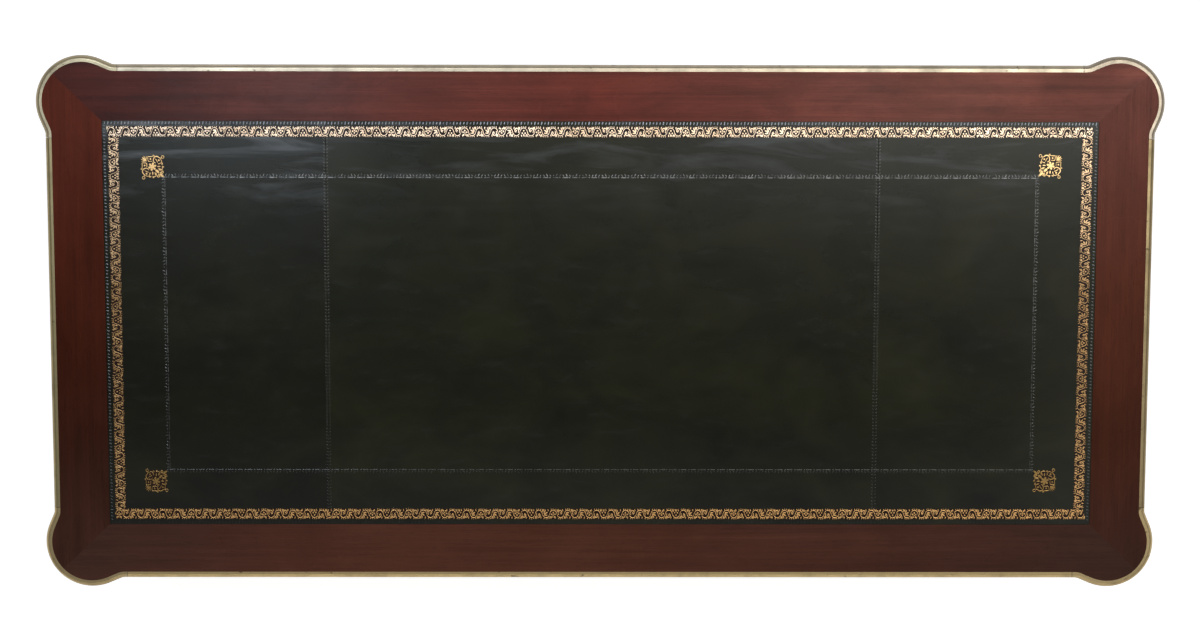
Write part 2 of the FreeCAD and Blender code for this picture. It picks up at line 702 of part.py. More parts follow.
def partitions():
    """Boards between the drawers, from the dividers to the back apron."""
    return mirrored_pair(
        box((DIVIDER_INNER_X, DIVIDER_OUTER_X), (RAIL_BACK_Y, APRON_INNER_Y), (FRIEZE_LOW, TOP_LOW))
    )


def strip_places():
    """Limits along X of the strips that carry the drawers and that hold them down, on the right half."""
    return (
        (DIVIDER_INNER_X - RUNNER_WIDTH, DIVIDER_INNER_X),
        (DIVIDER_OUTER_X, DIVIDER_OUTER_X + RUNNER_WIDTH),
        (OPENING_END_X - RUNNER_WIDTH, OPENING_END_X),
    )


def runners():
    """Strips that the drawers run on; the outermost have a guide worked on them between the posts."""
    solids = []
    guide_end = POST_Y - POST_RADIUS - GUIDE_POST_GAP
    guide = box(
        (OPENING_END_X, OPENING_END_X + GUIDE_WIDTH),
        (-guide_end, guide_end),
        (FRIEZE_LOW, OPENING_LOW + GUIDE_RISE),
    )
    for limits in strip_places():
        runner = box(limits, (RAIL_BACK_Y, APRON_INNER_Y), (FRIEZE_LOW, OPENING_LOW))
        if limits[1] == OPENING_END_X:
            runner = runner.fuse(guide).removeSplitter()
        solids += mirrored_pair(runner)
    return solids


def top_screws(room):
    """Screws up through the kickers into the core; room is added all round for the holes."""
    length = RAIL_HEIGHT + SCREW_BITE
    radius = SCREW_RADIUS + room
    head = SCREW_HEAD_RADIUS + room
    screw = turned([
        (0, OPENING_HIGH),
        (head, OPENING_HIGH),
        (radius, OPENING_HIGH + SCREW_HEAD_HEIGHT),
        (radius, OPENING_HIGH + length - SCREW_TIP),
        (0, OPENING_HIGH + length + room),
    ])
    screws = []
    for limits in strip_places():
        for y in spread(RAIL_BACK_Y, APRON_INNER_Y, SCREW_PLACE_SHARES):
            screws += mirrored_pair(moved(screw, sum(limits) / 2, y, 0))
    return screws


def kickers(holes):
    """Strips over the drawer sides, screwed to the top."""
    solids = []
    for limits in strip_places():
        kicker = box(limits, (RAIL_BACK_Y, APRON_INNER_Y), (OPENING_HIGH, TOP_LOW))
        solids += [solid.cut(holes) for solid in mirrored_pair(kicker)]
    return solids


def drawer_stops():
    """Blocks on the bottom rail that the drawer fronts close against."""
    stops = []
    front = DRAWER_FRONT_THICKNESS - FACE_Y
    for _, low_x, high_x in DRAWERS:
        for x in spread(low_x, high_x, STOP_PLACE_SHARES):
            stops.append(box(
                (x - STOP_WIDTH / 2, x + STOP_WIDTH / 2),
                (front, front + STOP_LENGTH),
                (OPENING_LOW, OPENING_LOW + STOP_HEIGHT),
            ))
    return stops


def frame_strips(length, height):
    """Brass frame of four mitred half-round strips, upright about the origin and standing out to -Y."""
    strips = []
    for turn in range(4):
        run, drop = (length, height) if turn % 2 == 0 else (height, length)
        low = -drop / 2
        section = outline_face(
            [(low, 0), ((low + FRAME_WIDTH / 2, FRAME_HEIGHT), (low + FRAME_WIDTH, 0))],
            lambda up, out: FreeCAD.Vector(-run / 2, -out, up),
        )
        mitres = outline_face(
            [
                (-run / 2, low),
                (run / 2, low),
                (run / 2 - FRAME_WIDTH, low + FRAME_WIDTH),
                (FRAME_WIDTH - run / 2, low + FRAME_WIDTH),
            ],
            lambda x, z: FreeCAD.Vector(x, 0, z),
        )
        strip = section.extrude(X_AXIS * run).common(mitres.extrude(-Y_AXIS * FRAME_HEIGHT))
        strip.rotate(ORIGIN, Y_AXIS, turn * QUARTER_TURN)
        strips.append(strip)
    return strips


def apron_frames():
    """Brass frames on the back, facing the three drawers, and one on each end."""
    height = OPENING_HIGH - OPENING_LOW - 2 * (DRAWER_GAP + FRAME_INSET)
    level = (OPENING_LOW + OPENING_HIGH) / 2
    strips = []
    for _, low_x, high_x in DRAWERS:
        length = high_x - low_x - 2 * (DRAWER_GAP + FRAME_INSET)
        for strip in frame_strips(length, height):
            strips.append(moved(turned_to(strip, HALF_TURN), (low_x + high_x) / 2, FACE_Y, level))
    end_length = 2 * (POST_Y - POST_RADIUS - FRAME_INSET)
    for strip in frame_strips(end_length, height):
        strips += mirrored_pair(moved(turned_to(strip, QUARTER_TURN), FACE_X, 0, level))
    return strips


# Places that every drawer and its lock share
FRONT_LOW = OPENING_LOW + DRAWER_GAP
FRONT_HIGH = OPENING_HIGH - DRAWER_GAP
FRONT_BACK_Y = DRAWER_FRONT_THICKNESS - FACE_Y
DRAWER_END_Y = APRON_INNER_Y - DRAWER_BACK_ROOM
SIDE_LOW = OPENING_LOW + RUNNING_GAP
SIDE_HIGH = SIDE_LOW + DRAWER_SIDE_HEIGHT
BOTTOM_LOW = SIDE_LOW + DRAWER_BOTTOM_RISE
BOTTOM_HIGH = BOTTOM_LOW + DRAWER_BOTTOM_THICKNESS
KEY_Z = FRONT_HIGH - KEY_AXIS_DROP
LOCK_FRONT_Y = FRONT_BACK_Y - LOCK_DEPTH
POCKET_Y = (LOCK_FRONT_Y + LOCK_PLATE, FRONT_BACK_Y - LOCK_PLATE)
POCKET_MIDDLE_Y = sum(POCKET_Y) / 2
BOLT_Y = (POCKET_MIDDLE_Y - BOLT_THICKNESS / 2, POCKET_MIDDLE_Y + BOLT_THICKNESS / 2)
KEY_BIT_RADIUS = BOLT_THROW / 2
KEY_BIT_REACH = KEY_BIT_RADIUS + KEY_BIT_THICKNESS / 2


def drawer_side(outer_x, inner_x):
    """Side of a drawer, with dovetails at its front end."""
    board = box((outer_x, inner_x), (FRONT_BACK_Y, DRAWER_END_Y), (SIDE_LOW, SIDE_HIGH))
    pitch = DRAWER_SIDE_HEIGHT / TAIL_COUNT
    root = pitch * TAIL_ROOT_SHARE / 2
    tip = pitch * TAIL_TIP_SHARE / 2
    tails = []
    for offset in evenly(DRAWER_SIDE_HEIGHT, TAIL_COUNT):
        middle = (SIDE_LOW + SIDE_HIGH) / 2 + offset
        tail = outline_face(
            [
                (FRONT_BACK_Y, middle - root),
                (FRONT_BACK_Y - TAIL_LENGTH, middle - tip),
                (FRONT_BACK_Y - TAIL_LENGTH, middle + tip),
                (FRONT_BACK_Y, middle + root),
            ],
            lambda y, z: FreeCAD.Vector(min(outer_x, inner_x), y, z),
        )
        tails.append(tail.extrude(X_AXIS * DRAWER_SIDE_THICKNESS))
    return board.fuse(tails).removeSplitter()


def keyhole(x, y_limits, room):
    """Shape that cuts a keyhole: a round hole with a slot below it for the key's bit."""
    low_y, high_y = min(y_limits), max(y_limits)
    radius = KEY_RADIUS + room
    slot = KEY_BIT_THICKNESS / 2 + room
    hole = Part.makeCylinder(radius, high_y - low_y, FreeCAD.Vector(x, low_y, KEY_Z), Y_AXIS)
    return hole.fuse(box((x - slot, x + slot), y_limits, (KEY_Z - KEY_BIT_REACH - room, KEY_Z)))


def lock_block(x):
    """Outside of a lock, which is also the recess for it in the drawer front."""
    return box(
        (x - LOCK_WIDTH / 2, x + LOCK_WIDTH / 2),
        (LOCK_FRONT_Y, FRONT_BACK_Y),
        (FRONT_HIGH - LOCK_HEIGHT, FRONT_HIGH),
    )


def lock_case(x):
    """Lock let into the back of a drawer front, with a pocket for the bolt and the key's bit."""
    bolt_x = x + BOLT_OFFSET
    bolt_room = box(
        (bolt_x - BOLT_CLEARANCE, bolt_x + BOLT_WIDTH + BOLT_CLEARANCE),
        POCKET_Y,
        (KEY_Z - BOLT_TAIL - BOLT_CLEARANCE, FRONT_HIGH + OVERRUN),
    )
    bit_start = FreeCAD.Vector(x, POCKET_Y[0], KEY_Z)
    bit_room = Part.makeCylinder(KEY_BIT_REACH + KEY_BIT_ROOM, POCKET_Y[1] - POCKET_Y[0], bit_start, Y_AXIS)
    entry = keyhole(x, (LOCK_FRONT_Y - OVERRUN, POCKET_MIDDLE_Y), KEY_CLEARANCE)
    return lock_block(x).cut([bolt_room, bit_room, entry])


def lock_bolt(x):
    """Bolt beside the key, with a notch in its edge that the key's bit lifts."""
    low_x = x + BOLT_OFFSET
    bolt = box((low_x, low_x + BOLT_WIDTH), BOLT_Y, (KEY_Z - BOLT_TAIL, FRONT_HIGH))
    notch_middle = KEY_Z - KEY_BIT_RADIUS
    notch = box(
        (low_x - OVERRUN, low_x + NOTCH_DEPTH),
        (BOLT_Y[0] - OVERRUN, BOLT_Y[1] + OVERRUN),
        (notch_middle - NOTCH_HEIGHT / 2, notch_middle + NOTCH_HEIGHT / 2),
    )
    return bolt.cut(notch)


def drawer_key(x):
    """Key with a ring bow; its bit points down, in line with the keyhole's slot."""
    shank_y = -FACE_Y - KEY_SHANK_OUT
    collar_y = -FACE_Y - ESCUTCHEON_THICKNESS - KEY_COLLAR_GAP
    collar_start = FreeCAD.Vector(x, collar_y, KEY_Z)
    bow_middle = FreeCAD.Vector(x, shank_y - KEY_BOW_RADIUS, KEY_Z)
    tip_start = FreeCAD.Vector(x, BOLT_Y[0], KEY_Z - KEY_BIT_RADIUS)
    shank = Part.makeCylinder(KEY_RADIUS, BOLT_Y[1] - shank_y, FreeCAD.Vector(x, shank_y, KEY_Z), Y_AXIS)
    collar = Part.makeCylinder(KEY_COLLAR_RADIUS, KEY_COLLAR_WIDTH, collar_start, -Y_AXIS)
    bow = Part.makeTorus(KEY_BOW_RADIUS, KEY_BOW_WIRE, bow_middle, X_AXIS)
    half = KEY_BIT_THICKNESS / 2
    bit = box((x - half, x + half), BOLT_Y, (KEY_Z - KEY_BIT_RADIUS, KEY_Z))
    bit_tip = Part.makeCylinder(half, BOLT_THICKNESS, tip_start, Y_AXIS)
    return shank.fuse([collar, bow, bit, bit_tip]).removeSplitter()


def escutcheon(x):
    """Oval brass plate round the keyhole."""
    rim = Part.Ellipse(ORIGIN, ESCUTCHEON_HEIGHT / 2, ESCUTCHEON_WIDTH / 2).toShape()
    plate = Part.Face(Part.Wire([rim])).extrude(Z_AXIS * ESCUTCHEON_THICKNESS)
    plate.rotate(ORIGIN, Z_AXIS, QUARTER_TURN)
    plate.rotate(ORIGIN, X_AXIS, QUARTER_TURN)
    hole = keyhole(x, (-FACE_Y - ESCUTCHEON_THICKNESS - OVERRUN, OVERRUN - FACE_Y), KEY_CLEARANCE)
    return moved(plate, x, -FACE_Y, KEY_Z).cut(hole)


def drawer(name, low_x, high_x):
    """All pieces of one drawer, which fills its opening but for a narrow gap."""
    left_x = low_x + DRAWER_GAP
    right_x = high_x - DRAWER_GAP
    middle_x = (left_x + right_x) / 2
    inner_left = left_x + DRAWER_SIDE_THICKNESS
    inner_right = right_x - DRAWER_SIDE_THICKNESS
    bottom = box(
        (inner_left - DRAWER_BOTTOM_GROOVE, inner_right + DRAWER_BOTTOM_GROOVE),
        (FRONT_BACK_Y - DRAWER_BOTTOM_GROOVE, DRAWER_END_Y),
        (BOTTOM_LOW, BOTTOM_HIGH),
    )
    sides = [drawer_side(left_x, inner_left), drawer_side(right_x, inner_right)]
    case = lock_case(middle_x)
    hole = keyhole(middle_x, (-FACE_Y - OVERRUN, FRONT_BACK_Y), KEY_CLEARANCE)
    front = box((left_x, right_x), (-FACE_Y, FRONT_BACK_Y), (FRONT_LOW, FRONT_HIGH))
    back = box(
        (inner_left, inner_right),
        (DRAWER_END_Y - DRAWER_BACK_THICKNESS, DRAWER_END_Y),
        (BOTTOM_HIGH, SIDE_HIGH - DRAWER_BACK_DROP),
    )
    frame_length = right_x - left_x - 2 * FRAME_INSET
    frame_height = FRONT_HIGH - FRONT_LOW - 2 * FRAME_INSET
    level = (FRONT_LOW + FRONT_HIGH) / 2
    frame = [moved(strip, middle_x, -FACE_Y, level) for strip in frame_strips(frame_length, frame_height)]
    prefix = "drawer_" + name + "_"
    return {
        prefix + "front": [front.cut(sides + [bottom, lock_block(middle_x), hole])],
        prefix + "sides": [side.cut(bottom) for side in sides],
        prefix + "back": [back],
        prefix + "bottom": [bottom],
        prefix + "brasses": frame + [escutcheon(middle_x)],
        prefix + "lock": [case],
        prefix + "lock_bolt": [lock_bolt(middle_x)],
        prefix + "key": [drawer_key(middle_x)],
    }


def build():
    """Make every node and write it."""
    nodes = {}
    for name, low_x, high_x in DRAWERS:
        nodes.update(drawer(name, low_x, high_x))
    bolts = [nodes["drawer_" + name + "_lock_bolt"][0] for name, _, _ in DRAWERS]

    pins = edge_pins()
    holes = top_screws(SEAT_CLEARANCE)
    core = core_panel()
    singles = {"top_core_panel": core.cut(holes)}
    singles.update(border_boards(core, pins))
    singles.update(leather_skins())
    singles.update(edge_mouldings(pins))

    stiles = drawer_stiles()
    boards = aprons()
    boards.update(front_rails(stiles, bolts))
    singles.update(boards)
    housed = list(boards.values()) + stiles
    blank = leg_blank()
    sabots = []
    reeds = []
    rings = []
    for name, turn, x_side, y_side in CORNERS:
        x, y = x_side * POST_X, y_side * POST_Y
        singles["leg_" + name] = moved(turned_to(blank, turn), x, y, 0).cut(housed)
        sabots.append(moved(sabot(), x, y, 0))
        reeds += [moved(reed, x, y, 0) for reed in leg_reeds()]
        rings += [moved(solid, x, y, 0) for solid in leg_rings(x_side, y_side)]

    for name, shape in singles.items():
        nodes[name] = [shape]
    nodes.update({
        "moulding_pins": pins,
        "foot_sabots": sabots,
        "leg_reeds": reeds,
        "leg_rings": rings,
        "drawer_stiles": stiles,
        "drawer_partitions": partitions(),
        "drawer_runners": runners(),
        "drawer_kickers": kickers(holes),
        "drawer_stops": drawer_stops(),
        "top_screws": top_screws(0),
        "apron_frames": apron_frames(),
    })
    for name, solids in nodes.items():
        write(name, solids)


build()
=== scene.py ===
"""Looks of a flat writing desk: tooled leather, polished mahogany, worn brass, oak and steel."""

import math

import bmesh
import bpy
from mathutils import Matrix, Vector, noise


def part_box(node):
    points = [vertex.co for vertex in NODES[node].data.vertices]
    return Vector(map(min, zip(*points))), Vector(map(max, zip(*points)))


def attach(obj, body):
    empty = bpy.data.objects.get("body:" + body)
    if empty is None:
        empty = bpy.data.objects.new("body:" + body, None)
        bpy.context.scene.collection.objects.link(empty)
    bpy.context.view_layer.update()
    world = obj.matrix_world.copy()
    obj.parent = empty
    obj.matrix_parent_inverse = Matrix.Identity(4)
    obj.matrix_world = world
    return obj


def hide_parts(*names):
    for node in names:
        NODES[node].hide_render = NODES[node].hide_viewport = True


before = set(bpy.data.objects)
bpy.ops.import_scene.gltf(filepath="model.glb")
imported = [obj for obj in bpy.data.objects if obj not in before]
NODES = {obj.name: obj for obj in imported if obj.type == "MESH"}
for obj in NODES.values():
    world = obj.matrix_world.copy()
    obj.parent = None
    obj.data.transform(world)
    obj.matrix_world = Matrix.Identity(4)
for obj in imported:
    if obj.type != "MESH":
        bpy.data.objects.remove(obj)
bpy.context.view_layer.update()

MM = 0.001
X_AXIS = 0
Y_AXIS = 1
Z_AXIS = 2
SIDES = ("back", "front", "left", "right")

# Leather: three skins, a hair lower than the border, gently uneven as glued leather is
LEATHER_SINK = 0.22 * MM
LEATHER_SWELL = 0.05 * MM
LEATHER_SWELL_LENGTH = 90 * MM
LEATHER_CELL = 14 * MM
# Distances from the edge of a skin, and the height lost there
LEATHER_LIP = ((0.0, 0.40 * MM), (0.25 * MM, 0.14 * MM), (0.7 * MM, 0.0), (1.2 * MM, 0.0))
LEATHER_BOX = [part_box("leather_" + name) for name in ("left", "centre", "right")]
LEATHER_HIGH = LEATHER_BOX[2][1]
LEATHER_LEVEL = LEATHER_HIGH.z - LEATHER_SINK
HALF_LENGTH = LEATHER_HIGH.x
HALF_DEPTH = LEATHER_HIGH.y

# Tooling: the height of its ridges, and the thin strip of stain under the gold
TOOL_HEIGHT = 0.10 * MM
GROUND_HEIGHT = 0.02 * MM
GROUND_CELL = 12 * MM

# Gilt roll, and the line of dashes between it and the edge of the leather
GILT_INSET_END = 9.4 * MM
GILT_INSET_SIDE = 8.4 * MM
GILT_WIDTH = 17.5 * MM
GILT_REPEAT = 118 * MM
BEAD_PLACE_SHARE = 0.42
BEAD_STEP = 5.4 * MM
BEAD_DASH_LONG = 5.0 * MM
BEAD_DASH_SHORT = 3.6 * MM
BEAD_SHORT_SHARE = 0.72
BEAD_WIDTH = 1.8 * MM
BEAD_SWELL = (0.6, 1.0, 0.6)
BEAD_LEAN = 0.5 * MM

# Blind rectangle: leaning strokes over dashes; a lean, starts and lengths are shares of a repeat,
# and levels are shares of half the width
BLIND_LENGTH = 1400 * MM
BLIND_DEPTH = 480 * MM
BLIND_WIDTH = 7.0 * MM
BLIND_STROKE = 1.15 * MM
BLIND_REPEAT = 31.5 * MM
BLIND_STROKES = 6
BLIND_LEAN = 0.035
BLIND_FOOT = -0.34
BLIND_TIP = 0.30
BLIND_TIP_RISE = 0.68
BLIND_DASH_LEVEL = -0.76
BLIND_DASHES = ((0.03, 0.28), (0.36, 0.08), (0.53, 0.28), (0.86, 0.08))

# Joins of the skins: a leaf and a dot on each side, in shares of a step and of half the width
JOIN_PLACES = (LEATHER_BOX[0][1].x, LEATHER_BOX[2][0].x)
JOIN_WIDTH = 7.4 * MM
JOIN_STEP = 5.4 * MM
JOIN_LEAF_FOOT = (0.1, 0.20)
JOIN_LEAF_TIP = (0.6, 0.46)
JOIN_LEAF_WIDTH = 0.09
JOIN_DOT = (0.5, 0.78)
JOIN_DOT_RADIUS = 0.13
JOIN_DOT_POINTS = 6

# Corner stamps: the side of each, and its place and turn in degrees
FLEURON_SIZE = 38.5 * MM
FLEURON_PLACES = {
    "back_left": (-716.2 * MM, 253.5 * MM, 2.0),
    "back_right": (719.5 * MM, 257.0 * MM, -3.0),
    "front_left": (-719.8 * MM, -256.0 * MM, -1.5),
    "front_right": (721.5 * MM, -255.0 * MM, 2.5),
}

# Camera, fitted to the straight lines of the photograph
PHOTO_WIDTH = 1200
CAMERA_FOCUS_PIXELS = 2792.0
CAMERA_SENSOR = 36.0
CAMERA_FAR = 200.0
CAMERA_PLACE = (-0.02856, 0.59554, 5.2293)
CAMERA_TURN_DEG = (-7.5003, -0.3415, 0.1038)

# Sockets of the colour mix node
MIX_FIRST = 6
MIX_SECOND = 7
MIX_RESULT = 2
NO_SHIFT = (0.0, 0.0, 0.0)

# Ranges that hold most values of a noise
NOISE_RANGE = (0.3, 0.7)
WIDE_NOISE_RANGE = (0.25, 0.75)
NARROW_NOISE_RANGE = (0.35, 0.65)


class Shader:
    """A node material that is wired by passing sockets as values."""

    def __init__(self, name):
        self.material = bpy.data.materials.new(name)
        self.material.use_nodes = True
        self.tree = self.material.node_tree
        self.tree.nodes.clear()

    def add(self, kind, inputs=None, **settings):
        """A node with the named settings; inputs maps socket names or numbers to values or sockets."""
        node = self.tree.nodes.new(kind)
        for key, value in settings.items():
            setattr(node, key, value)
        for key, value in (inputs or {}).items():
            self.feed(node.inputs[key], value)
        return node

    def feed(self, socket, value):
        """Link a socket, or set its value."""
        if isinstance(value, bpy.types.NodeSocket):
            self.tree.links.new(value, socket)
        else:
            socket.default_value = value

    def coordinates(self, scale, offset):
        """Object coordinates, scaled and shifted."""
        source = self.add("ShaderNodeTexCoord").outputs["Object"]
        inputs = {"Vector": source, "Scale": scale, "Location": offset}
        return self.add("ShaderNodeMapping", inputs).outputs[0]

    def noise(self, scale, offset=NO_SHIFT, detail=4.0, roughness=0.55, distortion=0.0):
        """Noise value at scaled and shifted object coordinates."""
        return self.add("ShaderNodeTexNoise", {
            "Vector": self.coordinates(scale, offset), "Scale": 1.0,
            "Detail": detail, "Roughness": roughness, "Distortion": distortion,
        }).outputs["Fac"]

    def place_along(self, axis):
        """Object coordinate along one axis."""
        source = self.add("ShaderNodeTexCoord").outputs["Object"]
        return self.add("ShaderNodeSeparateXYZ", {0: source}).outputs[axis]

    def ramp(self, factor, stops):
        """Colours along a factor."""
        node = self.add("ShaderNodeValToRGB", {"Fac": factor})
        elements = node.color_ramp.elements
        while len(elements) < len(stops):
            elements.new(0.5)
        for element, (place, colour) in zip(elements, stops):
            element.position = place
            element.color = (*colour, 1.0)
        return node.outputs["Color"]

    def span(self, value, low, high, to_low=0.0, to_high=1.0):
        """A value mapped from one range to another, clamped."""
        return self.add("ShaderNodeMapRange", {
            "Value": value, "From Min": low, "From Max": high, "To Min": to_low, "To Max": to_high,
        }).outputs["Result"]

    def math(self, operation, first, second):
        """One operation on two values."""
        return self.add("ShaderNodeMath", {0: first, 1: second}, operation=operation).outputs[0]

    def mix(self, factor, first, second):
        """Two colours mixed."""
        node = self.add("ShaderNodeMix", data_type="RGBA")
        self.feed(node.inputs["Factor"], factor)
        for socket, value in ((node.inputs[MIX_FIRST], first), (node.inputs[MIX_SECOND], second)):
            self.feed(socket, value if isinstance(value, bpy.types.NodeSocket) else (*value, 1.0))
        return node.outputs[MIX_RESULT]

    def shaded(self, colour, value):
        """A colour times a value."""
        inputs = {"Factor": 1.0, MIX_FIRST: colour, MIX_SECOND: value}
        node = self.add("ShaderNodeMix", inputs, data_type="RGBA", blend_type="MULTIPLY")
        return node.outputs[MIX_RESULT]

    def bump(self, height, strength, distance):
        """Normal from a height."""
        return self.add("ShaderNodeBump", {
            "Height": height, "Strength": strength, "Distance": distance,
        }).outputs["Normal"]

    def finish(self, inputs):
        """A principled surface with these inputs."""
        surface = self.add("ShaderNodeBsdfPrincipled", inputs)
        output = self.add("ShaderNodeOutputMaterial")
        self.tree.links.new(surface.outputs[0], output.inputs["Surface"])
        return self.material


def along(axis, length_scale, cross_scale):
    """Scale with one value along a grain axis and another across it."""
    return tuple(length_scale if index == axis else cross_scale for index in range(3))


def even(scale):
    """The same scale along all axes."""
    return (scale, scale, scale)


def times(values, factor):
    """Values times one factor, such as a colour made lighter or darker."""
    return tuple(value * factor for value in values)


# Mahogany: how a seed shifts its patterns, their noise scales along and across the grain,
# and how far each shades the wood
WOOD_SHIFT = (1.7, 2.3, 3.1)
WOOD_STREAKS = (1.3, 60.0)
WOOD_STREAK_DEPTH = 0.18
WOOD_LINES = (9.0, 520.0)
WOOD_LINE_SHADES = (1.10, 0.86)
WOOD_MOTTLE = (7.0, 12.0)
WOOD_MOTTLE_DARK = 0.14
WOOD_MOTTLE_LIGHT = 0.16
WOOD_PORES = (55.0, 1500.0)
WOOD_PORE_RANGE = (0.62, 0.70)
WOOD_PORE_SHADE = 0.6
WOOD_WEAR = 6.0
WOOD_ROUGHNESS = (0.22, 0.34)
WOOD_SHINE = 0.13
WOOD_BUMP = (0.10, 0.0004)
# Tones are given at places between minus and plus this reach from the middle of the desk
TONE_REACH = 0.9


def mahogany(name, axis, tones, seed, shine=WOOD_SHINE, figure=1.0):
    """French-polished mahogany: its grain axis, its tones along an axis, and its figure's strength."""
    made = Shader(name)
    offset = times(WOOD_SHIFT, seed)
    streaks = made.noise(along(axis, *WOOD_STREAKS), offset, detail=5.0, distortion=0.6)
    lines = made.noise(along(axis, *WOOD_LINES), offset, detail=3.0, roughness=0.6)
    mottle = made.noise(along(axis, *WOOD_MOTTLE), offset, roughness=0.6, distortion=0.8)
    pores = made.noise(along(axis, *WOOD_PORES), offset, detail=2.0, roughness=0.5)
    pore = made.span(pores, *WOOD_PORE_RANGE)
    streak_depth = WOOD_STREAK_DEPTH * figure
    shade = made.span(streaks, *WIDE_NOISE_RANGE, 1.0 - streak_depth, 1.0 + streak_depth)
    shade = made.math("MULTIPLY", shade, made.span(lines, *NOISE_RANGE, *WOOD_LINE_SHADES))
    dark = 1.0 - WOOD_MOTTLE_DARK * figure
    light = 1.0 + WOOD_MOTTLE_LIGHT * figure
    shade = made.math("MULTIPLY", shade, made.span(mottle, *WIDE_NOISE_RANGE, dark, light))
    shade = made.math("MULTIPLY", shade, made.span(pore, 0.0, 1.0, 1.0, WOOD_PORE_SHADE))
    tone_axis, stops = tones
    place = made.span(made.place_along(tone_axis), -TONE_REACH, TONE_REACH)
    shares = [((spot + TONE_REACH) / (2 * TONE_REACH), tone) for spot, tone in stops]
    colour = made.ramp(place, shares)
    wear = made.noise(even(WOOD_WEAR), offset)
    return made.finish({
        "Base Color": made.shaded(colour, shade),
        "Roughness": made.span(wear, *NOISE_RANGE, *WOOD_ROUGHNESS),
        "Specular IOR Level": shine,
        "Normal": made.bump(made.math("SUBTRACT", lines, pore), *WOOD_BUMP),
    })


# Oak: how a seed shifts its patterns, their noise scales along and across the grain, and its colours
# from the dark to the light rings
OAK_SHIFT = (1.3, 0.9, 2.1)
OAK_RINGS = (2.2, 48.0)
OAK_LINES = (16.0, 700.0)
OAK_HUES = ((0.3, (0.17, 0.095, 0.042)), (0.5, (0.29, 0.18, 0.085)), (0.72, (0.40, 0.27, 0.14)))
OAK_LINE_HUE = (0.11, 0.06, 0.026)
OAK_LINE_RANGE = (0.5, 0.72)
OAK_LINE_STRENGTH = 0.6
OAK_ROUGHNESS = 0.62
OAK_SHINE = 0.3
OAK_BUMP = (0.25, 0.0004)


def oak(name, axis, seed):
    """Bare, waxed oak of the hidden work."""
    made = Shader(name)
    offset = times(OAK_SHIFT, seed)
    rings = made.noise(along(axis, *OAK_RINGS), offset, detail=5.0, roughness=0.6, distortion=0.7)
    lines = made.noise(along(axis, *OAK_LINES), offset, detail=3.0)
    colour = made.ramp(rings, OAK_HUES)
    lined = made.span(lines, *OAK_LINE_RANGE, 0.0, OAK_LINE_STRENGTH)
    colour = made.mix(lined, colour, OAK_LINE_HUE)
    return made.finish({
        "Base Color": colour,
        "Roughness": OAK_ROUGHNESS,
        "Specular IOR Level": OAK_SHINE,
        "Normal": made.bump(lines, *OAK_BUMP),
    })


# Brass: how a seed shifts its patterns, the noise scales of its clouds, specks and spots,
# and their shades of its colour
BRASS_SHIFT = (1.1, 1.9, 0.7)
BRASS_CLOUD = 24.0
BRASS_CLOUD_SHADES = ((0.28, 0.66), (0.50, 0.95), (0.72, 1.10))
BRASS_SPECK = 420.0
BRASS_SPECK_RANGE = (0.58, 0.75)
BRASS_SPECK_STRENGTH = 0.45
BRASS_SPECK_SHADE = 0.45
BRASS_SPOT = 95.0
BRASS_SPOT_RANGE = (0.68, 0.74)
BRASS_SPOT_STRENGTH = 0.7
BRASS_SPOT_SHADE = 0.16
BRASS_ROUGHNESS = (0.44, 0.30)
BRASS_BUMP = (0.10, 0.0003)
# Upward part of a normal at which a face is darkest with painted shade, and at which it has its whole
# colour
UPWARD = (0.35, 0.85)


def brass(name, colour, seed, side_shade_share=1.0):
    """Old brass, clouded and specked, which may have painted shade: darker by a share on the faces that
    don't look up.
    """
    made = Shader(name)
    offset = times(BRASS_SHIFT, seed)
    cloud = made.noise(even(BRASS_CLOUD), offset, detail=5.0, roughness=0.6)
    speck = made.noise(even(BRASS_SPECK), offset, detail=3.0)
    spot = made.noise(even(BRASS_SPOT), offset, detail=2.0)
    base = made.ramp(cloud, [(place, times(colour, shade)) for place, shade in BRASS_CLOUD_SHADES])
    specked = made.span(speck, *BRASS_SPECK_RANGE, 0.0, BRASS_SPECK_STRENGTH)
    base = made.mix(specked, base, times(colour, BRASS_SPECK_SHADE))
    spotted = made.span(spot, *BRASS_SPOT_RANGE, 0.0, BRASS_SPOT_STRENGTH)
    base = made.mix(spotted, base, times(colour, BRASS_SPOT_SHADE))
    if side_shade_share < 1.0:
        normal = made.add("ShaderNodeTexCoord").outputs["Normal"]
        upward = made.add("ShaderNodeSeparateXYZ", {0: normal}).outputs[Z_AXIS]
        base = made.shaded(base, made.span(upward, *UPWARD, side_shade_share, 1.0))
    return made.finish({
        "Base Color": base,
        "Metallic": 1.0,
        "Roughness": made.span(cloud, *NOISE_RANGE, *BRASS_ROUGHNESS),
        "Normal": made.bump(speck, *BRASS_BUMP),
    })


STEEL_CLOUD = 60.0
STEEL_BRUSH = (40.0, 900.0, 900.0)
STEEL_HUES = ((0.3, (0.20, 0.19, 0.18)), (0.7, (0.40, 0.39, 0.37)))
STEEL_ROUGHNESS = (0.34, 0.52)
STEEL_BUMP = (0.1, 0.0003)


def steel(name):
    """Dull lock steel."""
    made = Shader(name)
    cloud = made.noise(even(STEEL_CLOUD))
    brush = made.noise(STEEL_BRUSH, detail=2.0)
    return made.finish({
        "Base Color": made.ramp(cloud, STEEL_HUES),
        "Metallic": 1.0,
        "Roughness": made.span(brush, *NOISE_RANGE, *STEEL_ROUGHNESS),
        "Normal": made.bump(brush, *STEEL_BUMP),
    })
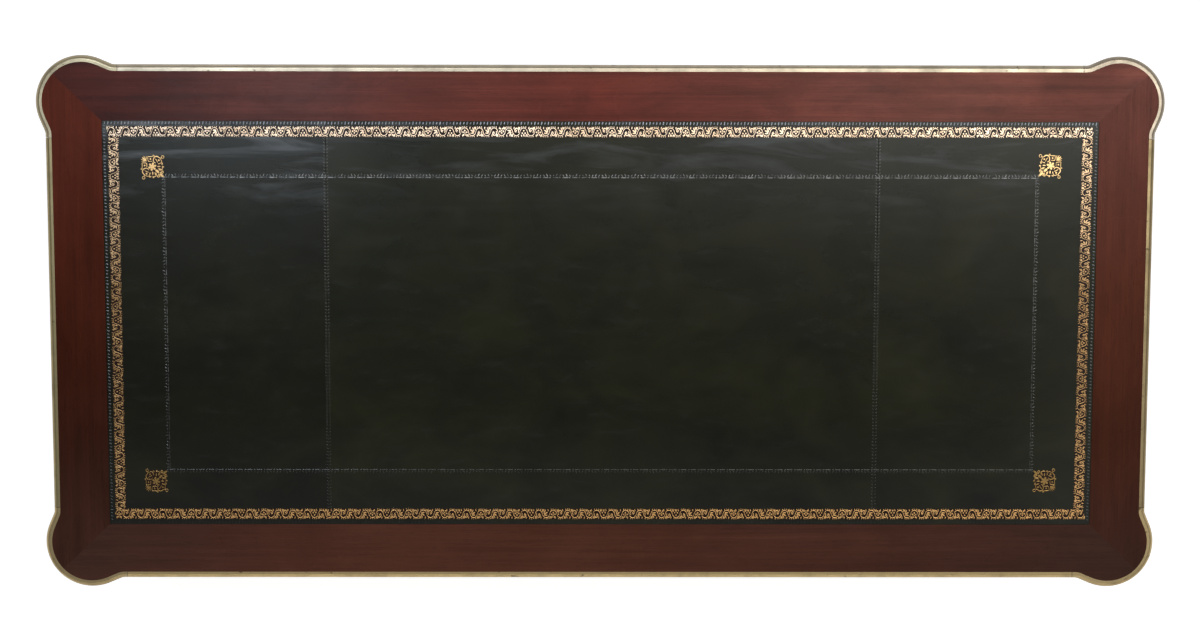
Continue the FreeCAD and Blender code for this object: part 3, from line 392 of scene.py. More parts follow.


# Hide: how a seed shifts its patterns, the noise scales of its clouds, scuffs, streaks of painted sheen
# and grain, and its colours
HIDE_SHIFT = (2.7, 1.1, 0.0)
HIDE_CLOUD = (6.0, 8.0, 7.0)
HIDE_SCUFF = (18.0, 55.0, 40.0)
HIDE_SCUFF_RANGE = (0.58, 0.8)
HIDE_SCUFF_STRENGTH = 0.35
HIDE_SHEEN_STREAKS = (4.5, 26.0, 9.0)
HIDE_SHEEN_STREAK_RANGE = (0.50, 0.80)
HIDE_GRAIN = 900.0
HIDE_HUES = (
    (0.30, (0.0058, 0.0064, 0.0040)), (0.50, (0.0100, 0.0104, 0.0062)), (0.72, (0.0170, 0.0170, 0.0098)),
)
HIDE_SCUFF_HUE = (0.018, 0.0185, 0.0140)
# Pale bluish tint of the streaks: painted sheen, the lamps' reflection put into the colour
HIDE_PAINTED_SHEEN_HUE = (0.150, 0.163, 0.176)
HIDE_DUST_HUE = (0.085, 0.090, 0.130)
HIDE_DUST = 0.045
HIDE_ROUGHNESS = (0.20, 0.25)
HIDE_SHINE = 0.24
HIDE_BUMP = (0.03, 0.0003)
# Places along Y where the painted sheen and the dust begin and are whole
PAINTED_SHEEN_FROM_TO = (0.17, 0.31)
DUST_FROM_TO = (-0.14, -0.30)


def leather(name, seed, tint, painted_sheen):
    """Dark green hide, mottled and scuffed, with streaks of painted sheen towards the back and dust at the
    front.
    """
    made = Shader(name)
    offset = times(HIDE_SHIFT, seed)
    cloud = made.noise(HIDE_CLOUD, offset, detail=6.0, roughness=0.6, distortion=0.6)
    scuff = made.noise(HIDE_SCUFF, offset, detail=5.0, roughness=0.6, distortion=0.5)
    cells = made.add("ShaderNodeTexVoronoi", {
        "Vector": made.coordinates(even(HIDE_GRAIN), offset), "Scale": 1.0,
    }).outputs["Distance"]
    colour = made.ramp(cloud, [
        (place, tuple(channel * share for channel, share in zip(hue, tint))) for place, hue in HIDE_HUES
    ])
    scuffed = made.span(scuff, *HIDE_SCUFF_RANGE, 0.0, HIDE_SCUFF_STRENGTH)
    colour = made.mix(scuffed, colour, HIDE_SCUFF_HUE)
    # Streaks of painted sheen, growing towards the back
    sheen_streaks = made.noise(HIDE_SHEEN_STREAKS, offset, detail=6.0, roughness=0.60, distortion=1.0)
    sheen_towards_back = made.span(made.place_along(Y_AXIS), *PAINTED_SHEEN_FROM_TO, 0.0, painted_sheen)
    sheen_share = made.math("MULTIPLY", made.span(sheen_streaks, *HIDE_SHEEN_STREAK_RANGE), sheen_towards_back)
    colour = made.mix(sheen_share, colour, HIDE_PAINTED_SHEEN_HUE)
    dusty = made.span(made.place_along(Y_AXIS), *DUST_FROM_TO, 0.0, HIDE_DUST)
    colour = made.mix(dusty, colour, HIDE_DUST_HUE)
    return made.finish({
        "Base Color": colour,
        "Roughness": made.span(scuff, *NOISE_RANGE, *HIDE_ROUGHNESS),
        "Specular IOR Level": HIDE_SHINE,
        "Normal": made.bump(cells, *HIDE_BUMP),
    })


# Gold leaf: noise scales of its wear and its patches, the ground that shows through, and its lacquer
GOLD_WEAR = 300.0
GOLD_GONE_RANGE = (0.59, 0.68)
GOLD_PATCH = 14.0
GOLD_GROUND_HUE = (0.085, 0.045, 0.022)
GOLD_GROUND_METAL = 0.3
GOLD_ROUGHNESS = (0.42, 0.30)
LACQUER_IOR = 1.8
LACQUER_ROUGHNESS = 0.28
# Places along Y where a front or a back tone of painted light begins and is whole
PAINTED_FRONT_FROM_TO = (-0.10, -0.33)
PAINTED_BACK_FROM_TO = (0.06, 0.33)


def gilding(name, pale, deep, lacquer, painted_front_back=None):
    """Lacquered gold leaf, rubbed through in places, which may take other tones of painted light at the
    front and back.
    """
    made = Shader(name)
    worn = made.noise(even(GOLD_WEAR), roughness=0.6)
    patch = made.noise(even(GOLD_PATCH))
    gone = made.span(worn, *GOLD_GONE_RANGE)
    gold = made.mix(made.span(patch, *NARROW_NOISE_RANGE), deep, pale)
    if painted_front_back:
        gold = made.mix(made.span(made.place_along(Y_AXIS), *PAINTED_FRONT_FROM_TO), gold, painted_front_back[0])
        gold = made.mix(made.span(made.place_along(Y_AXIS), *PAINTED_BACK_FROM_TO), gold, painted_front_back[1])
    return made.finish({
        "Base Color": made.mix(gone, gold, GOLD_GROUND_HUE),
        "Metallic": made.span(gone, 0.0, 1.0, 1.0, GOLD_GROUND_METAL),
        "Roughness": made.span(patch, *NOISE_RANGE, *GOLD_ROUGHNESS),
        "Coat Weight": lacquer,
        "Coat IOR": LACQUER_IOR,
        "Coat Roughness": LACQUER_ROUGHNESS,
    })


MARK_WEAR = 90.0
MARK_ROUGHNESS = 0.24
# Places along Y between which marks darken towards the front: painted shade
PAINTED_SHADE_FROM_TO = (-0.15, 0.25)


def blind_tooling(name, low, high, shine, front_shade_share=1.0):
    """Leather burnished or stained by a tool, between a dark colour and a light colour that is partly
    painted highlight, which may darken towards the front as painted shade.
    """
    made = Shader(name)
    worn = made.noise(even(MARK_WEAR))
    colour = made.ramp(worn, list(zip(NARROW_NOISE_RANGE, (low, high))))
    if front_shade_share < 1.0:
        front_shading = made.span(made.place_along(Y_AXIS), *PAINTED_SHADE_FROM_TO, front_shade_share, 1.0)
        colour = made.shaded(colour, front_shading)
    return made.finish({
        "Base Color": colour, "Roughness": MARK_ROUGHNESS, "Specular IOR Level": shine,
    })


def leather_height(x, y):
    """Height of the uneven leather at a place."""
    swell = noise.noise(Vector((x, y, 0.0)) / LEATHER_SWELL_LENGTH)
    return LEATHER_LEVEL + LEATHER_SWELL * swell


def leather_piece(name, mesh):
    """An object that rides on the desk as a piece of its leather."""
    made = bpy.data.objects.new(name, mesh)
    bpy.context.scene.collection.objects.link(made)
    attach(made, "desk")
    return made


# Leaves and dots: points of their outlines, a leaf's swell at the foot, and its loss towards the tip
LEAF_POINTS = 10
SMALL_LEAF_POINTS = 8
LEAF_SWELL = 1.15
LEAF_LOSS = 0.3
DOT_POINTS = 7


class Tooling:
    """Ridges and leaves pressed by a tool, gathered into one mesh."""

    def __init__(self):
        self.points = []
        self.faces = []

    def vertex(self, place, u, v, height):
        """A vertex at a tool coordinate, lying on the leather."""
        x, y = place(u, v)
        self.points.append((x, y, leather_height(x, y) + height))
        return len(self.points) - 1

    def stroke(self, place, path, widths):
        """A ridge along a path: a three-sided bar."""
        rings = []
        for index, (u, v) in enumerate(path):
            before = path[max(index - 1, 0)]
            after = path[min(index + 1, len(path) - 1)]
            run, rise = after[0] - before[0], after[1] - before[1]
            length = math.hypot(run, rise) or 1.0
            half = widths[index] / 2
            aside_u, aside_v = -rise / length * half, run / length * half
            rings.append((
                self.vertex(place, u + aside_u, v + aside_v, 0.0),
                self.vertex(place, u, v, TOOL_HEIGHT),
                self.vertex(place, u - aside_u, v - aside_v, 0.0),
            ))
        for one, two in zip(rings, rings[1:]):
            self.faces += [
                (one[0], one[1], two[1], two[0]),
                (one[1], one[2], two[2], two[1]),
                (one[2], one[0], two[0], two[2]),
            ]
        self.faces += [rings[0][::-1], rings[-1]]

    def blob(self, place, outline):
        """A domed patch with a closed outline."""
        centre_u = sum(u for u, _ in outline) / len(outline)
        centre_v = sum(v for _, v in outline) / len(outline)
        rim = [self.vertex(place, u, v, 0.0) for u, v in outline]
        top = self.vertex(place, centre_u, centre_v, TOOL_HEIGHT)
        count = len(rim)
        self.faces += [(rim[i], rim[(i + 1) % count], top) for i in range(count)]
        self.faces.append(tuple(reversed(rim)))

    def leaf(self, place, foot, tip, width, points=LEAF_POINTS):
        """A leaf from foot to tip, fuller near its foot."""
        run, rise = tip[0] - foot[0], tip[1] - foot[1]
        length = math.hypot(run, rise)
        along_u, along_v = run / length, rise / length
        outline = []
        for index in range(points):
            turn = 2 * math.pi * index / points
            ahead = length * (0.5 - 0.5 * math.cos(turn))
            aside = width / 2 * math.sin(turn) * (LEAF_SWELL - LEAF_LOSS * ahead / length)
            outline.append((
                foot[0] + along_u * ahead - along_v * aside,
                foot[1] + along_v * ahead + along_u * aside,
            ))
        self.blob(place, outline)

    def dot(self, place, u, v, radius, points=DOT_POINTS):
        """A round dot."""
        outline = []
        for index in range(points):
            turn = 2 * math.pi * index / points
            outline.append((u + radius * math.cos(turn), v + radius * math.sin(turn)))
        self.blob(place, outline)

    def ground(self, place, length, half):
        """A thin strip under a band, as long as it and of one width."""
        corners = (
            (-half, -GROUND_HEIGHT), (-half, GROUND_HEIGHT), (half, GROUND_HEIGHT), (half, -GROUND_HEIGHT),
        )
        count = max(2, round(length / GROUND_CELL))
        rings = []
        for index in range(count + 1):
            u = length * index / count
            rings.append([self.vertex(place, u, v, height) for v, height in corners])
        for one, two in zip(rings, rings[1:]):
            self.faces += [(one[k], two[k], two[(k + 1) % 4], one[(k + 1) % 4]) for k in range(4)]
        self.faces += [rings[0], rings[-1][::-1]]

    def build(self, name, material):
        """The tooling as a piece of the leather, with its faces turned outwards."""
        mesh = bpy.data.meshes.new(name)
        mesh.from_pydata(self.points, [], self.faces)
        shape = bmesh.new()
        shape.from_mesh(mesh)
        bmesh.ops.recalc_face_normals(shape, faces=shape.faces)
        shape.to_mesh(mesh)
        shape.free()
        mesh.materials.append(material)
        mesh.validate()
        return leather_piece(name, mesh)


def spiral(centre, start_radius, end_radius, start_turn, turns, points):
    """Points of a spiral that winds in, or of a ring."""
    path = []
    for index in range(points):
        share = index / (points - 1)
        radius = start_radius + (end_radius - start_radius) * share
        angle = 2 * math.pi * (start_turn + turns * share)
        path.append((centre[0] + radius * math.cos(angle), centre[1] + radius * math.sin(angle)))
    return path


def tapered(count, widest, narrowest):
    """Widths that swell in the middle of a stroke."""
    swells = [math.sin(math.pi * (index + 0.5) / count) for index in range(count)]
    return [narrowest + (widest - narrowest) * swell for swell in swells]


# Flowers, in shares of their radius: where a petal begins, its width, and the dot in the middle
PETAL_FOOT = 0.3
PETAL_WIDTH = 0.62
FLOWER_DOT = 0.28


def flower(tool, place, centre, radius, petals, start):
    """A rosette of petals round a dot."""
    foot_radius = radius * PETAL_FOOT
    for index in range(petals):
        angle = start + 2 * math.pi * index / petals
        foot = (centre[0] + foot_radius * math.cos(angle), centre[1] + foot_radius * math.sin(angle))
        tip = (centre[0] + radius * math.cos(angle), centre[1] + radius * math.sin(angle))
        tool.leaf(place, foot, tip, radius * PETAL_WIDTH, SMALL_LEAF_POINTS)
    tool.dot(place, centre[0], centre[1], radius * FLOWER_DOT)


def smooth(points, steps=5):
    """A smooth curve through points, which has the same heading on both sides of each."""
    ends = [points[0], *points, points[-1]]
    path = []
    for index in range(len(points) - 1):
        a, b, c, d = ends[index:index + 4]
        for step in range(steps):
            t = step / steps
            path.append(tuple(
                0.5 * (2 * b[k] + (c[k] - a[k]) * t + (2 * a[k] - 5 * b[k] + 4 * c[k] - d[k]) * t ** 2
                       + (3 * b[k] - a[k] - 3 * c[k] + d[k]) * t ** 3)
                for k in range(2)
            ))
    return [*path, points[-1]]


def ribbon(tool, place, points, widest, narrowest):
    """A curved stroke through points that swells in its middle."""
    path = smooth(points)
    tool.stroke(place, path, tapered(len(path), widest, narrowest))


# Gilt roll: a running stem in half widths of the band, with a filling under each of its half waves.
# Leaves are given as foot, tip and width, and dots as place and radius; both are drawn at the fullness.
SCROLL_FILLINGS = (
    "curl", "leaves", "curl", "flower", "leaves", "curl", "trefoil", "curl", "flower", "leaves",
)
SCROLL_LENGTH = 1.685
SCROLL_FULLNESS = 0.74
SCROLL_STEM = (
    (-0.03, -0.10), (0.10, 0.26), (0.38, 0.58), (0.84, 0.72), (1.30, 0.58), (1.58, 0.26), (1.71, -0.10),
)
SCROLL_STEM_WIDTHS = (0.17, 0.11)
SCROLL_MIDDLE = (0.86, -0.22)
SCROLL_CORNER_LEAVES = (
    ((-0.17, 0.32), (0.03, 1.00), 0.50),
    ((0.27, -0.42), (0.42, -1.00), 0.36),
    ((1.45, -0.42), (1.30, -1.00), 0.36),
)
SCROLL_CORNER_DOTS = ((0.39, 0.87, 0.18), (0.84, 0.93, 0.12), (1.31, 0.87, 0.18))
CURL_RADII = (0.57, 0.25)
CURL_START = 0.12
CURL_TURNS = -0.85
CURL_POINTS = 16
CURL_WIDTHS = (0.27, 0.16)
CURL_EYE = 0.17
SCROLL_FLOWER = 0.68
SCROLL_PETALS = 5
ACANTHUS_LEAVES = (
    ((1.42, 0.22), (0.34, 0.26), 0.44),
    ((1.42, 0.16), (0.34, -0.42), 0.48),
    ((1.44, 0.10), (0.86, -0.96), 0.46),
)
TREFOIL_DOTS = ((0.86, 0.22, 0.27), (0.54, -0.24, 0.27), (1.18, -0.24, 0.27))
TREFOIL_LEAVES = (((0.86, -0.34), (0.70, -0.98), 0.32), ((0.86, -0.34), (1.04, -0.98), 0.32))


def scroll_wave(tool, place, filling):
    """Half a wave of the roll: its stem, its filling, and leaves and dots in the free corners."""
    ribbon(tool, place, SCROLL_STEM, *SCROLL_STEM_WIDTHS)
    leaves = SCROLL_CORNER_LEAVES
    dots = SCROLL_CORNER_DOTS
    if filling == "curl":
        curl = spiral(SCROLL_MIDDLE, *CURL_RADII, CURL_START, CURL_TURNS, CURL_POINTS)
        tool.stroke(place, curl, tapered(CURL_POINTS, *CURL_WIDTHS))
        tool.dot(place, SCROLL_MIDDLE[0], SCROLL_MIDDLE[1], CURL_EYE)
    elif filling == "flower":
        flower(tool, place, SCROLL_MIDDLE, SCROLL_FLOWER, SCROLL_PETALS, math.pi / 2)
    elif filling == "leaves":
        leaves += ACANTHUS_LEAVES
    else:
        leaves += TREFOIL_LEAVES
        dots += TREFOIL_DOTS
    for foot, tip, width in leaves:
        tool.leaf(place, foot, tip, width * SCROLL_FULLNESS, SMALL_LEAF_POINTS)
    for u, v, radius in dots:
        tool.dot(place, u, v, radius * SCROLL_FULLNESS)


def gilt_band(tool, place, length):
    """The gilt roll along a straight stretch, its waves swinging out and in by turns."""
    fillings = len(SCROLL_FILLINGS)
    waves = 2 * max(1, round(length / GILT_REPEAT * fillings / 2))
    step = length / waves
    half = GILT_WIDTH / 2
    for index in range(waves):
        def local(u, v, start=index * step, side=1 - 2 * (index % 2)):
            """Tool coordinate of a place in a wave."""
            return place(start + u * step / SCROLL_LENGTH, v * side * half)

        scroll_wave(tool, local, SCROLL_FILLINGS[index % fillings])


def roll_ground(tool, place, length):
    """Stained leather under the gilt roll."""
    tool.ground(place, length, GILT_WIDTH / 2)


def bead_band(tool, place, length):
    """Blind band of leaning dashes along the edge of the leather, long and short by turns."""
    count = round(length / BEAD_STEP)
    step = length / count
    dash = BEAD_DASH_LONG if length > HALF_LENGTH else BEAD_DASH_SHORT
    widths = [BEAD_WIDTH * share for share in BEAD_SWELL]
    for index in range(count):
        u = (index + 0.5) * step
        reach = dash / 2 * (1.0 if index % 2 else BEAD_SHORT_SHARE)
        tool.stroke(place, [(u - BEAD_LEAN, -reach), (u, 0.0), (u + BEAD_LEAN, reach)], widths)


def blind_band(tool, place, length):
    """Blind band of the inner rectangle: strokes that rise and fall over a broken line."""
    count = round(length / BLIND_REPEAT)
    step = length / count
    half = BLIND_WIDTH / 2
    for index in range(count):
        start = index * step
        for k in range(BLIND_STROKES):
            share = (k + 0.5) / BLIND_STROKES
            u = start + step * share
            lean = step * BLIND_LEAN * (1 if share < 0.5 else -1)
            tip = half * (BLIND_TIP + BLIND_TIP_RISE * abs(math.sin(2 * math.pi * share)))
            foot = half * BLIND_FOOT
            tool.leaf(place, (u - lean, foot), (u + lean, tip), BLIND_STROKE, SMALL_LEAF_POINTS)
        level = half * BLIND_DASH_LEVEL
        for dash, reach in BLIND_DASHES:
            ends = [(start + step * dash, level), (start + step * (dash + reach), level)]
            tool.stroke(place, ends, [BLIND_STROKE, BLIND_STROKE])


def join_band(tool, place, length):
    """Blind leaves and dots on both sides of a join of two skins."""
    count = round(length / JOIN_STEP)
    step = length / count
    half = JOIN_WIDTH / 2
    for index in range(count):
        u = index * step
        for side in (-half, half):
            foot = (u + step * JOIN_LEAF_FOOT[0], side * JOIN_LEAF_FOOT[1])
            tip = (u + step * JOIN_LEAF_TIP[0], side * JOIN_LEAF_TIP[1])
            tool.leaf(place, foot, tip, step * JOIN_LEAF_WIDTH, SMALL_LEAF_POINTS)
            dot = (u + step * JOIN_DOT[0], side * JOIN_DOT[1])
            tool.dot(place, *dot, step * JOIN_DOT_RADIUS, JOIN_DOT_POINTS)


# Corner stamp in shares of half its side, outwards along X and along Y; most of its pieces
# are drawn again across the diagonal
STAMP_ROSETTE = (0.03, 0.03)
STAMP_FLOWER = 0.38
STAMP_PETALS = 6
STAMP_EYE = 0.20
STAMP_EYE_POINTS = 12
STAMP_MIDDLE_LEAVES = (
    ((-0.20, -0.20), (-0.54, -0.54), 0.26),
    ((0.44, 0.44), (0.88, 0.88), 0.16),
    ((-0.52, -0.52), (-0.90, -0.90), 0.24),
)
STAMP_VOLUTE = (
    (-0.80, 0.72), (-0.62, 0.73), (-0.42, 0.86), (-0.20, 0.82), (-0.09, 0.62), (-0.12, 0.42), (-0.26, 0.32),
)
STAMP_VOLUTE_WIDTHS = (0.10, 0.06)
STAMP_STROKES = (
    ((-0.24, 0.68), (-0.36, 0.54), (-0.42, 0.36)),
    ((-0.66, 0.66), (-0.76, 0.46), (-0.70, 0.32), (-0.52, 0.25)),
    ((0.37, 0.86), (0.36, 0.64), (0.32, 0.49), (0.16, 0.48), (0.0, 0.48)),
    ((0.37, 0.87), (0.14, 0.86), (-0.06, 0.88)),
    ((-0.79, 0.06), (-0.80, -0.16), (-0.72, -0.27), (-0.50, -0.27)),
)
STAMP_STROKE_WIDTHS = (0.065, 0.045)
STAMP_DOTS = (
    (0.15, 0.67, 0.11), (-0.79, 0.19, 0.08), (-0.38, -0.80, 0.09),
    (-0.02, -0.86, 0.09), (0.28, -0.80, 0.10), (-0.54, 0.54, 0.12),
)
STAMP_DOT_SHARE = 0.8
STAMP_DOT_POINTS = 8
STAMP_RINGS = ((-0.87, 0.80, 0.11), (-0.78, -0.44, 0.09), (-0.12, 0.93, 0.05))
STAMP_RING_WIDTH = 0.055
STAMP_RING_POINTS = 11
STAMP_LEAVES = (
    ((0.46, 0.54), (0.70, 0.94), 0.15),
    ((0.44, 0.62), (0.50, 0.93), 0.12),
    ((0.02, -0.34), (0.03, -0.70), 0.24),
    ((-0.14, -0.40), (-0.26, -0.80), 0.20),
    ((0.24, -0.42), (0.27, -0.66), 0.18),
    ((-0.42, -0.52), (-0.60, -0.88), 0.17),
)
STAMP_LEAF_SHARE = 0.55
# Half the side of the stained patch under it
STAMP_GROUND = 0.88


def fleuron(tool, place):
    """Corner stamp: a rosette, two volutes with ring ends, a fan outwards and leaves inwards."""
    def mirrored(u, v):
        """Place of a stamp coordinate across the diagonal."""
        return place(v, u)

    flower(tool, place, STAMP_ROSETTE, STAMP_FLOWER, STAMP_PETALS, math.pi / 4)
    tool.dot(place, STAMP_ROSETTE[0], STAMP_ROSETTE[1], STAMP_EYE, STAMP_EYE_POINTS)
    for foot, tip, width in STAMP_MIDDLE_LEAVES:
        tool.leaf(place, foot, tip, width)
    ring_widths = [STAMP_RING_WIDTH] * STAMP_RING_POINTS
    for side in (place, mirrored):
        ribbon(tool, side, STAMP_VOLUTE, *STAMP_VOLUTE_WIDTHS)
        for points in STAMP_STROKES:
            ribbon(tool, side, points, *STAMP_STROKE_WIDTHS)
        for u, v, radius in STAMP_DOTS:
            tool.dot(side, u, v, radius * STAMP_DOT_SHARE, STAMP_DOT_POINTS)
        for u, v, radius in STAMP_RINGS:
            ring = spiral((u, v), radius, radius, 0.0, 1.0, STAMP_RING_POINTS)
            tool.stroke(side, ring, ring_widths)
        for foot, tip, width in STAMP_LEAVES:
            tool.leaf(side, foot, tip, width * STAMP_LEAF_SHARE)


def on_line(origin, heading):
    """Tool coordinates along a line: u ahead, v to the left."""
    def place(u, v):
        """Place on the leather of a tool coordinate."""
        return (
            origin[0] + heading[0] * u - heading[1] * v,
            origin[1] + heading[1] * u + heading[0] * v,
        )
    return place


def rectangle_bands(half_x, half_y, inset):
    """Places and lengths of a band's four sides; the short sides stop an inset from the corners."""
    return {
        "back": (on_line((-half_x, half_y), (1, 0)), 2 * half_x),
        "front": (on_line((half_x, -half_y), (-1, 0)), 2 * half_x),
        "left": (on_line((-half_x, -half_y + inset), (0, 1)), 2 * (half_y - inset)),
        "right": (on_line((half_x, half_y - inset), (0, -1)), 2 * (half_y - inset)),
    }


def tooled_rectangle(prefix, draw, half_x, half_y, width, materials):
    """A band drawn round a rectangle, given half the sizes of its middle line and its sides' materials."""
    for side, (place, length) in rectangle_bands(half_x, half_y, width / 2).items():
        start = -width / 2 if side in ("back", "front") else 0.0

        def shifted(u, v, place=place, start=start):
            """Place of a tool coordinate that counts from the outer corner."""
            return place(u + start, v)

        tool = Tooling()
        draw(tool, shifted, length + (width if side in ("back", "front") else 0.0))
        tool.build(prefix + "_" + side, materials[side])


def lip_lines(low, high):
    """Grid lines across a skin with the height lost at each, close together at the edges."""
    inner = max(2, round((high - low) / LEATHER_CELL))
    inset = LEATHER_LIP[-1][0]
    lines = [(low + place, drop) for place, drop in LEATHER_LIP[:-1]]
    span = high - low - 2 * inset
    lines += [(low + inset + span * index / inner, 0.0) for index in range(inner + 1)]
    lines += [(high - place, drop) for place, drop in reversed(LEATHER_LIP[:-1])]
    return lines


def leather_skin(name, box, material):
    """One skin: an uneven upper face with rounded edges, flat below."""
    low, high = box
    columns, rows = lip_lines(low.x, high.x), lip_lines(low.y, high.y)
    points, faces = [], []
    for upper in (True, False):
        for x, drop_x in columns:
            for y, drop_y in rows:
                level = leather_height(x, y) - max(drop_x, drop_y) if upper else low.z
                points.append((x, y, level))
    across, count = len(rows), len(columns) * len(rows)
    for i in range(len(columns) - 1):
        for j in range(across - 1):
            a, b = i * across + j, (i + 1) * across + j
            faces.append((a, b, b + 1, a + 1))
            faces.append((count + a + 1, count + b + 1, count + b, count + a))
    edge = [i * across for i in range(len(columns))]
    edge += [(len(columns) - 1) * across + j for j in range(1, across)]
    edge += [i * across + across - 1 for i in range(len(columns) - 2, -1, -1)]
    edge += list(range(across - 2, 0, -1))
    for a, b in zip(edge, edge[1:] + edge[:1]):
        faces.append((a, count + a, count + b, b))
    mesh = bpy.data.meshes.new(name)
    mesh.from_pydata(points, [], faces)
    mesh.materials.append(material)
    mesh.shade_smooth()
    return leather_piece(name, mesh)


# Each skin's share of the hide's red, green and blue, and how strongly its painted sheen shows
HIDE_TINTS = {"left": (0.66, 0.67, 0.36), "centre": (0.84, 0.86, 0.42), "right": (0.95, 0.97, 0.52)}
HIDE_PAINTED_SHEENS = {"left": 0.9, "centre": 0.4, "right": 0.5}
for index, (part, tint) in enumerate(HIDE_TINTS.items()):
    hide = leather("hide_" + part, index + 1.0, tint, HIDE_PAINTED_SHEENS[part])
    skin = leather_skin("leather_skin_" + part, LEATHER_BOX[index], hide)
    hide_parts("leather_" + part)

# Golds: pale and deep tone. They are lit and shaded copies of one gold, painted light: the back gold is
# paler, a painted reflection, and the gold of the ends and of the front stamps is darker, painted shade;
# the gold of the ends turns into other, lighter tones at the front and the back, a painted highlight at the
# back
BACK_LIT_GOLD = ((0.97, 0.74, 0.51), (0.80, 0.55, 0.33))
FRONT_GOLD = ((0.93, 0.53, 0.195), (0.78, 0.43, 0.145))
END_SHADED_GOLD = ((0.44, 0.247, 0.082), (0.34, 0.183, 0.058))
END_PAINTED_LIGHT_TONES = ((0.76, 0.44, 0.165), (0.86, 0.60, 0.36))
# The back stamps lit and the front stamps darker copies: painted shade
STAMP_GOLDS = {
    "back_left": ((0.87, 0.58, 0.24), (0.74, 0.46, 0.17)),
    "back_right": ((0.87, 0.58, 0.24), (0.74, 0.46, 0.17)),
    "front_left": ((0.40, 0.235, 0.057), (0.30, 0.172, 0.041)),
    "front_right": ((0.385, 0.225, 0.052), (0.30, 0.17, 0.040)),
}
FULL_LACQUER = 1.0
THIN_LACQUER = 0.4
# Marks: dark and light tone, shine, and the share of their tone that is left at the front, which is painted
# shade. They are lit and shaded copies: the light tones of the back marks and beads are painted highlight,
# bluish at the beads, and the front marks and beads are darker, painted shade
MARKS = {
    "bright": ((0.012, 0.013, 0.012), (0.30, 0.303, 0.296), 0.8, 1.0),
    "ends": ((0.034, 0.035, 0.034), (0.20, 0.204, 0.198), 0.9, 0.16),
    "joins": ((0.040, 0.041, 0.040), (0.19, 0.193, 0.187), 0.9, 0.10),
    "dull": ((0.010, 0.011, 0.009), (0.050, 0.051, 0.046), 0.5, 1.0),
    "beads": ((0.070, 0.077, 0.090), (0.30, 0.32, 0.355), 1.0, 1.0),
    "end_beads": ((0.040, 0.043, 0.049), (0.125, 0.133, 0.145), 0.8, 0.22),
    "front_beads": ((0.009, 0.010, 0.008), (0.020, 0.021, 0.018), 0.3, 1.0),
}
STAIN = ((0.013, 0.006, 0.0038), (0.024, 0.011, 0.0062), 0.2)

back_gold = gilding("gilding_back", *BACK_LIT_GOLD, FULL_LACQUER)
front_gold = gilding("gilding_front", *FRONT_GOLD, THIN_LACQUER)
end_gold = gilding("gilding_ends", *END_SHADED_GOLD, THIN_LACQUER, END_PAINTED_LIGHT_TONES)
roll_golds = {"back": back_gold, "front": front_gold, "left": end_gold, "right": end_gold}
marks = {name: blind_tooling("blind_tooling_" + name, *values) for name, values in MARKS.items()}
bead_marks = {
    "back": marks["beads"], "front": marks["front_beads"],
    "left": marks["end_beads"], "right": marks["end_beads"],
}
blind_marks = {
    "back": marks["bright"], "front": marks["dull"], "left": marks["ends"], "right": marks["ends"],
}
stained = blind_tooling("gilding_ground", *STAIN)
roll_x = HALF_LENGTH - GILT_INSET_END - GILT_WIDTH / 2
roll_y = HALF_DEPTH - GILT_INSET_SIDE - GILT_WIDTH / 2
bead_x = HALF_LENGTH - GILT_INSET_END * BEAD_PLACE_SHARE
bead_y = HALF_DEPTH - GILT_INSET_SIDE * BEAD_PLACE_SHARE
tooled_rectangle("gilt_ground", roll_ground, roll_x, roll_y, GILT_WIDTH, dict.fromkeys(SIDES, stained))
tooled_rectangle("gilt_roll", gilt_band, roll_x, roll_y, GILT_WIDTH, roll_golds)
tooled_rectangle("bead_roll", bead_band, bead_x, bead_y, BEAD_DASH_SHORT, bead_marks)
tooled_rectangle("blind_roll", blind_band, BLIND_LENGTH / 2, BLIND_DEPTH / 2, BLIND_WIDTH, blind_marks)
join_reach = HALF_DEPTH - GILT_INSET_SIDE - GILT_WIDTH
for part, join_x in zip(("left", "right"), JOIN_PLACES):
    band = Tooling()
    join_band(band, on_line((join_x, -join_reach), (0, 1)), 2 * join_reach)
    band.build("join_roll_" + part, marks["joins"])
for part, (x, y, turn) in FLEURON_PLACES.items():
    def stamped(u, v, x=x, y=y, turn=math.radians(turn)):
        """Place on the leather of a stamp coordinate."""
        across = math.copysign(FLEURON_SIZE / 2, x) * u
        deep = math.copysign(FLEURON_SIZE / 2, y) * v
        return (
            x + across * math.cos(turn) - deep * math.sin(turn),
            y + across * math.sin(turn) + deep * math.cos(turn),
        )

    def under(u, v, stamped=stamped):
        """Place of the patch under a stamp, from one of its sides."""
        return stamped(u - STAMP_GROUND, v)

    patch = Tooling()
    patch.ground(under, 2 * STAMP_GROUND, STAMP_GROUND)
    patch.build("fleuron_ground_" + part, stained)
    stamp = Tooling()
    fleuron(stamp, stamped)
    stamp_gold = gilding("gilding_stamp_" + part, *STAMP_GOLDS[part], THIN_LACQUER)
    stamp.build("fleuron_" + part, stamp_gold)


# Brasses by their place, lit and shaded copies of one brass, painted light: paler and greyer at the back,
# more golden at the front, darker at the ends; those of the top have painted shade, darker by a share on
# their sides
GOLDEN = (0.60, 0.48, 0.27)
EDGE_BRASSES = {
    "back": (0.49, 0.42, 0.31), "front": (0.58, 0.44, 0.22),
    "left": (0.37, 0.30, 0.16), "right": (0.335, 0.255, 0.135),
}
CORNER_BRASSES = {
    "back_left": (0.44, 0.37, 0.24), "back_right": (0.40, 0.34, 0.26),
    "front_left": (0.50, 0.385, 0.20), "front_right": (0.54, 0.41, 0.21),
}
RIM_SHADE_SHARE = 0.55
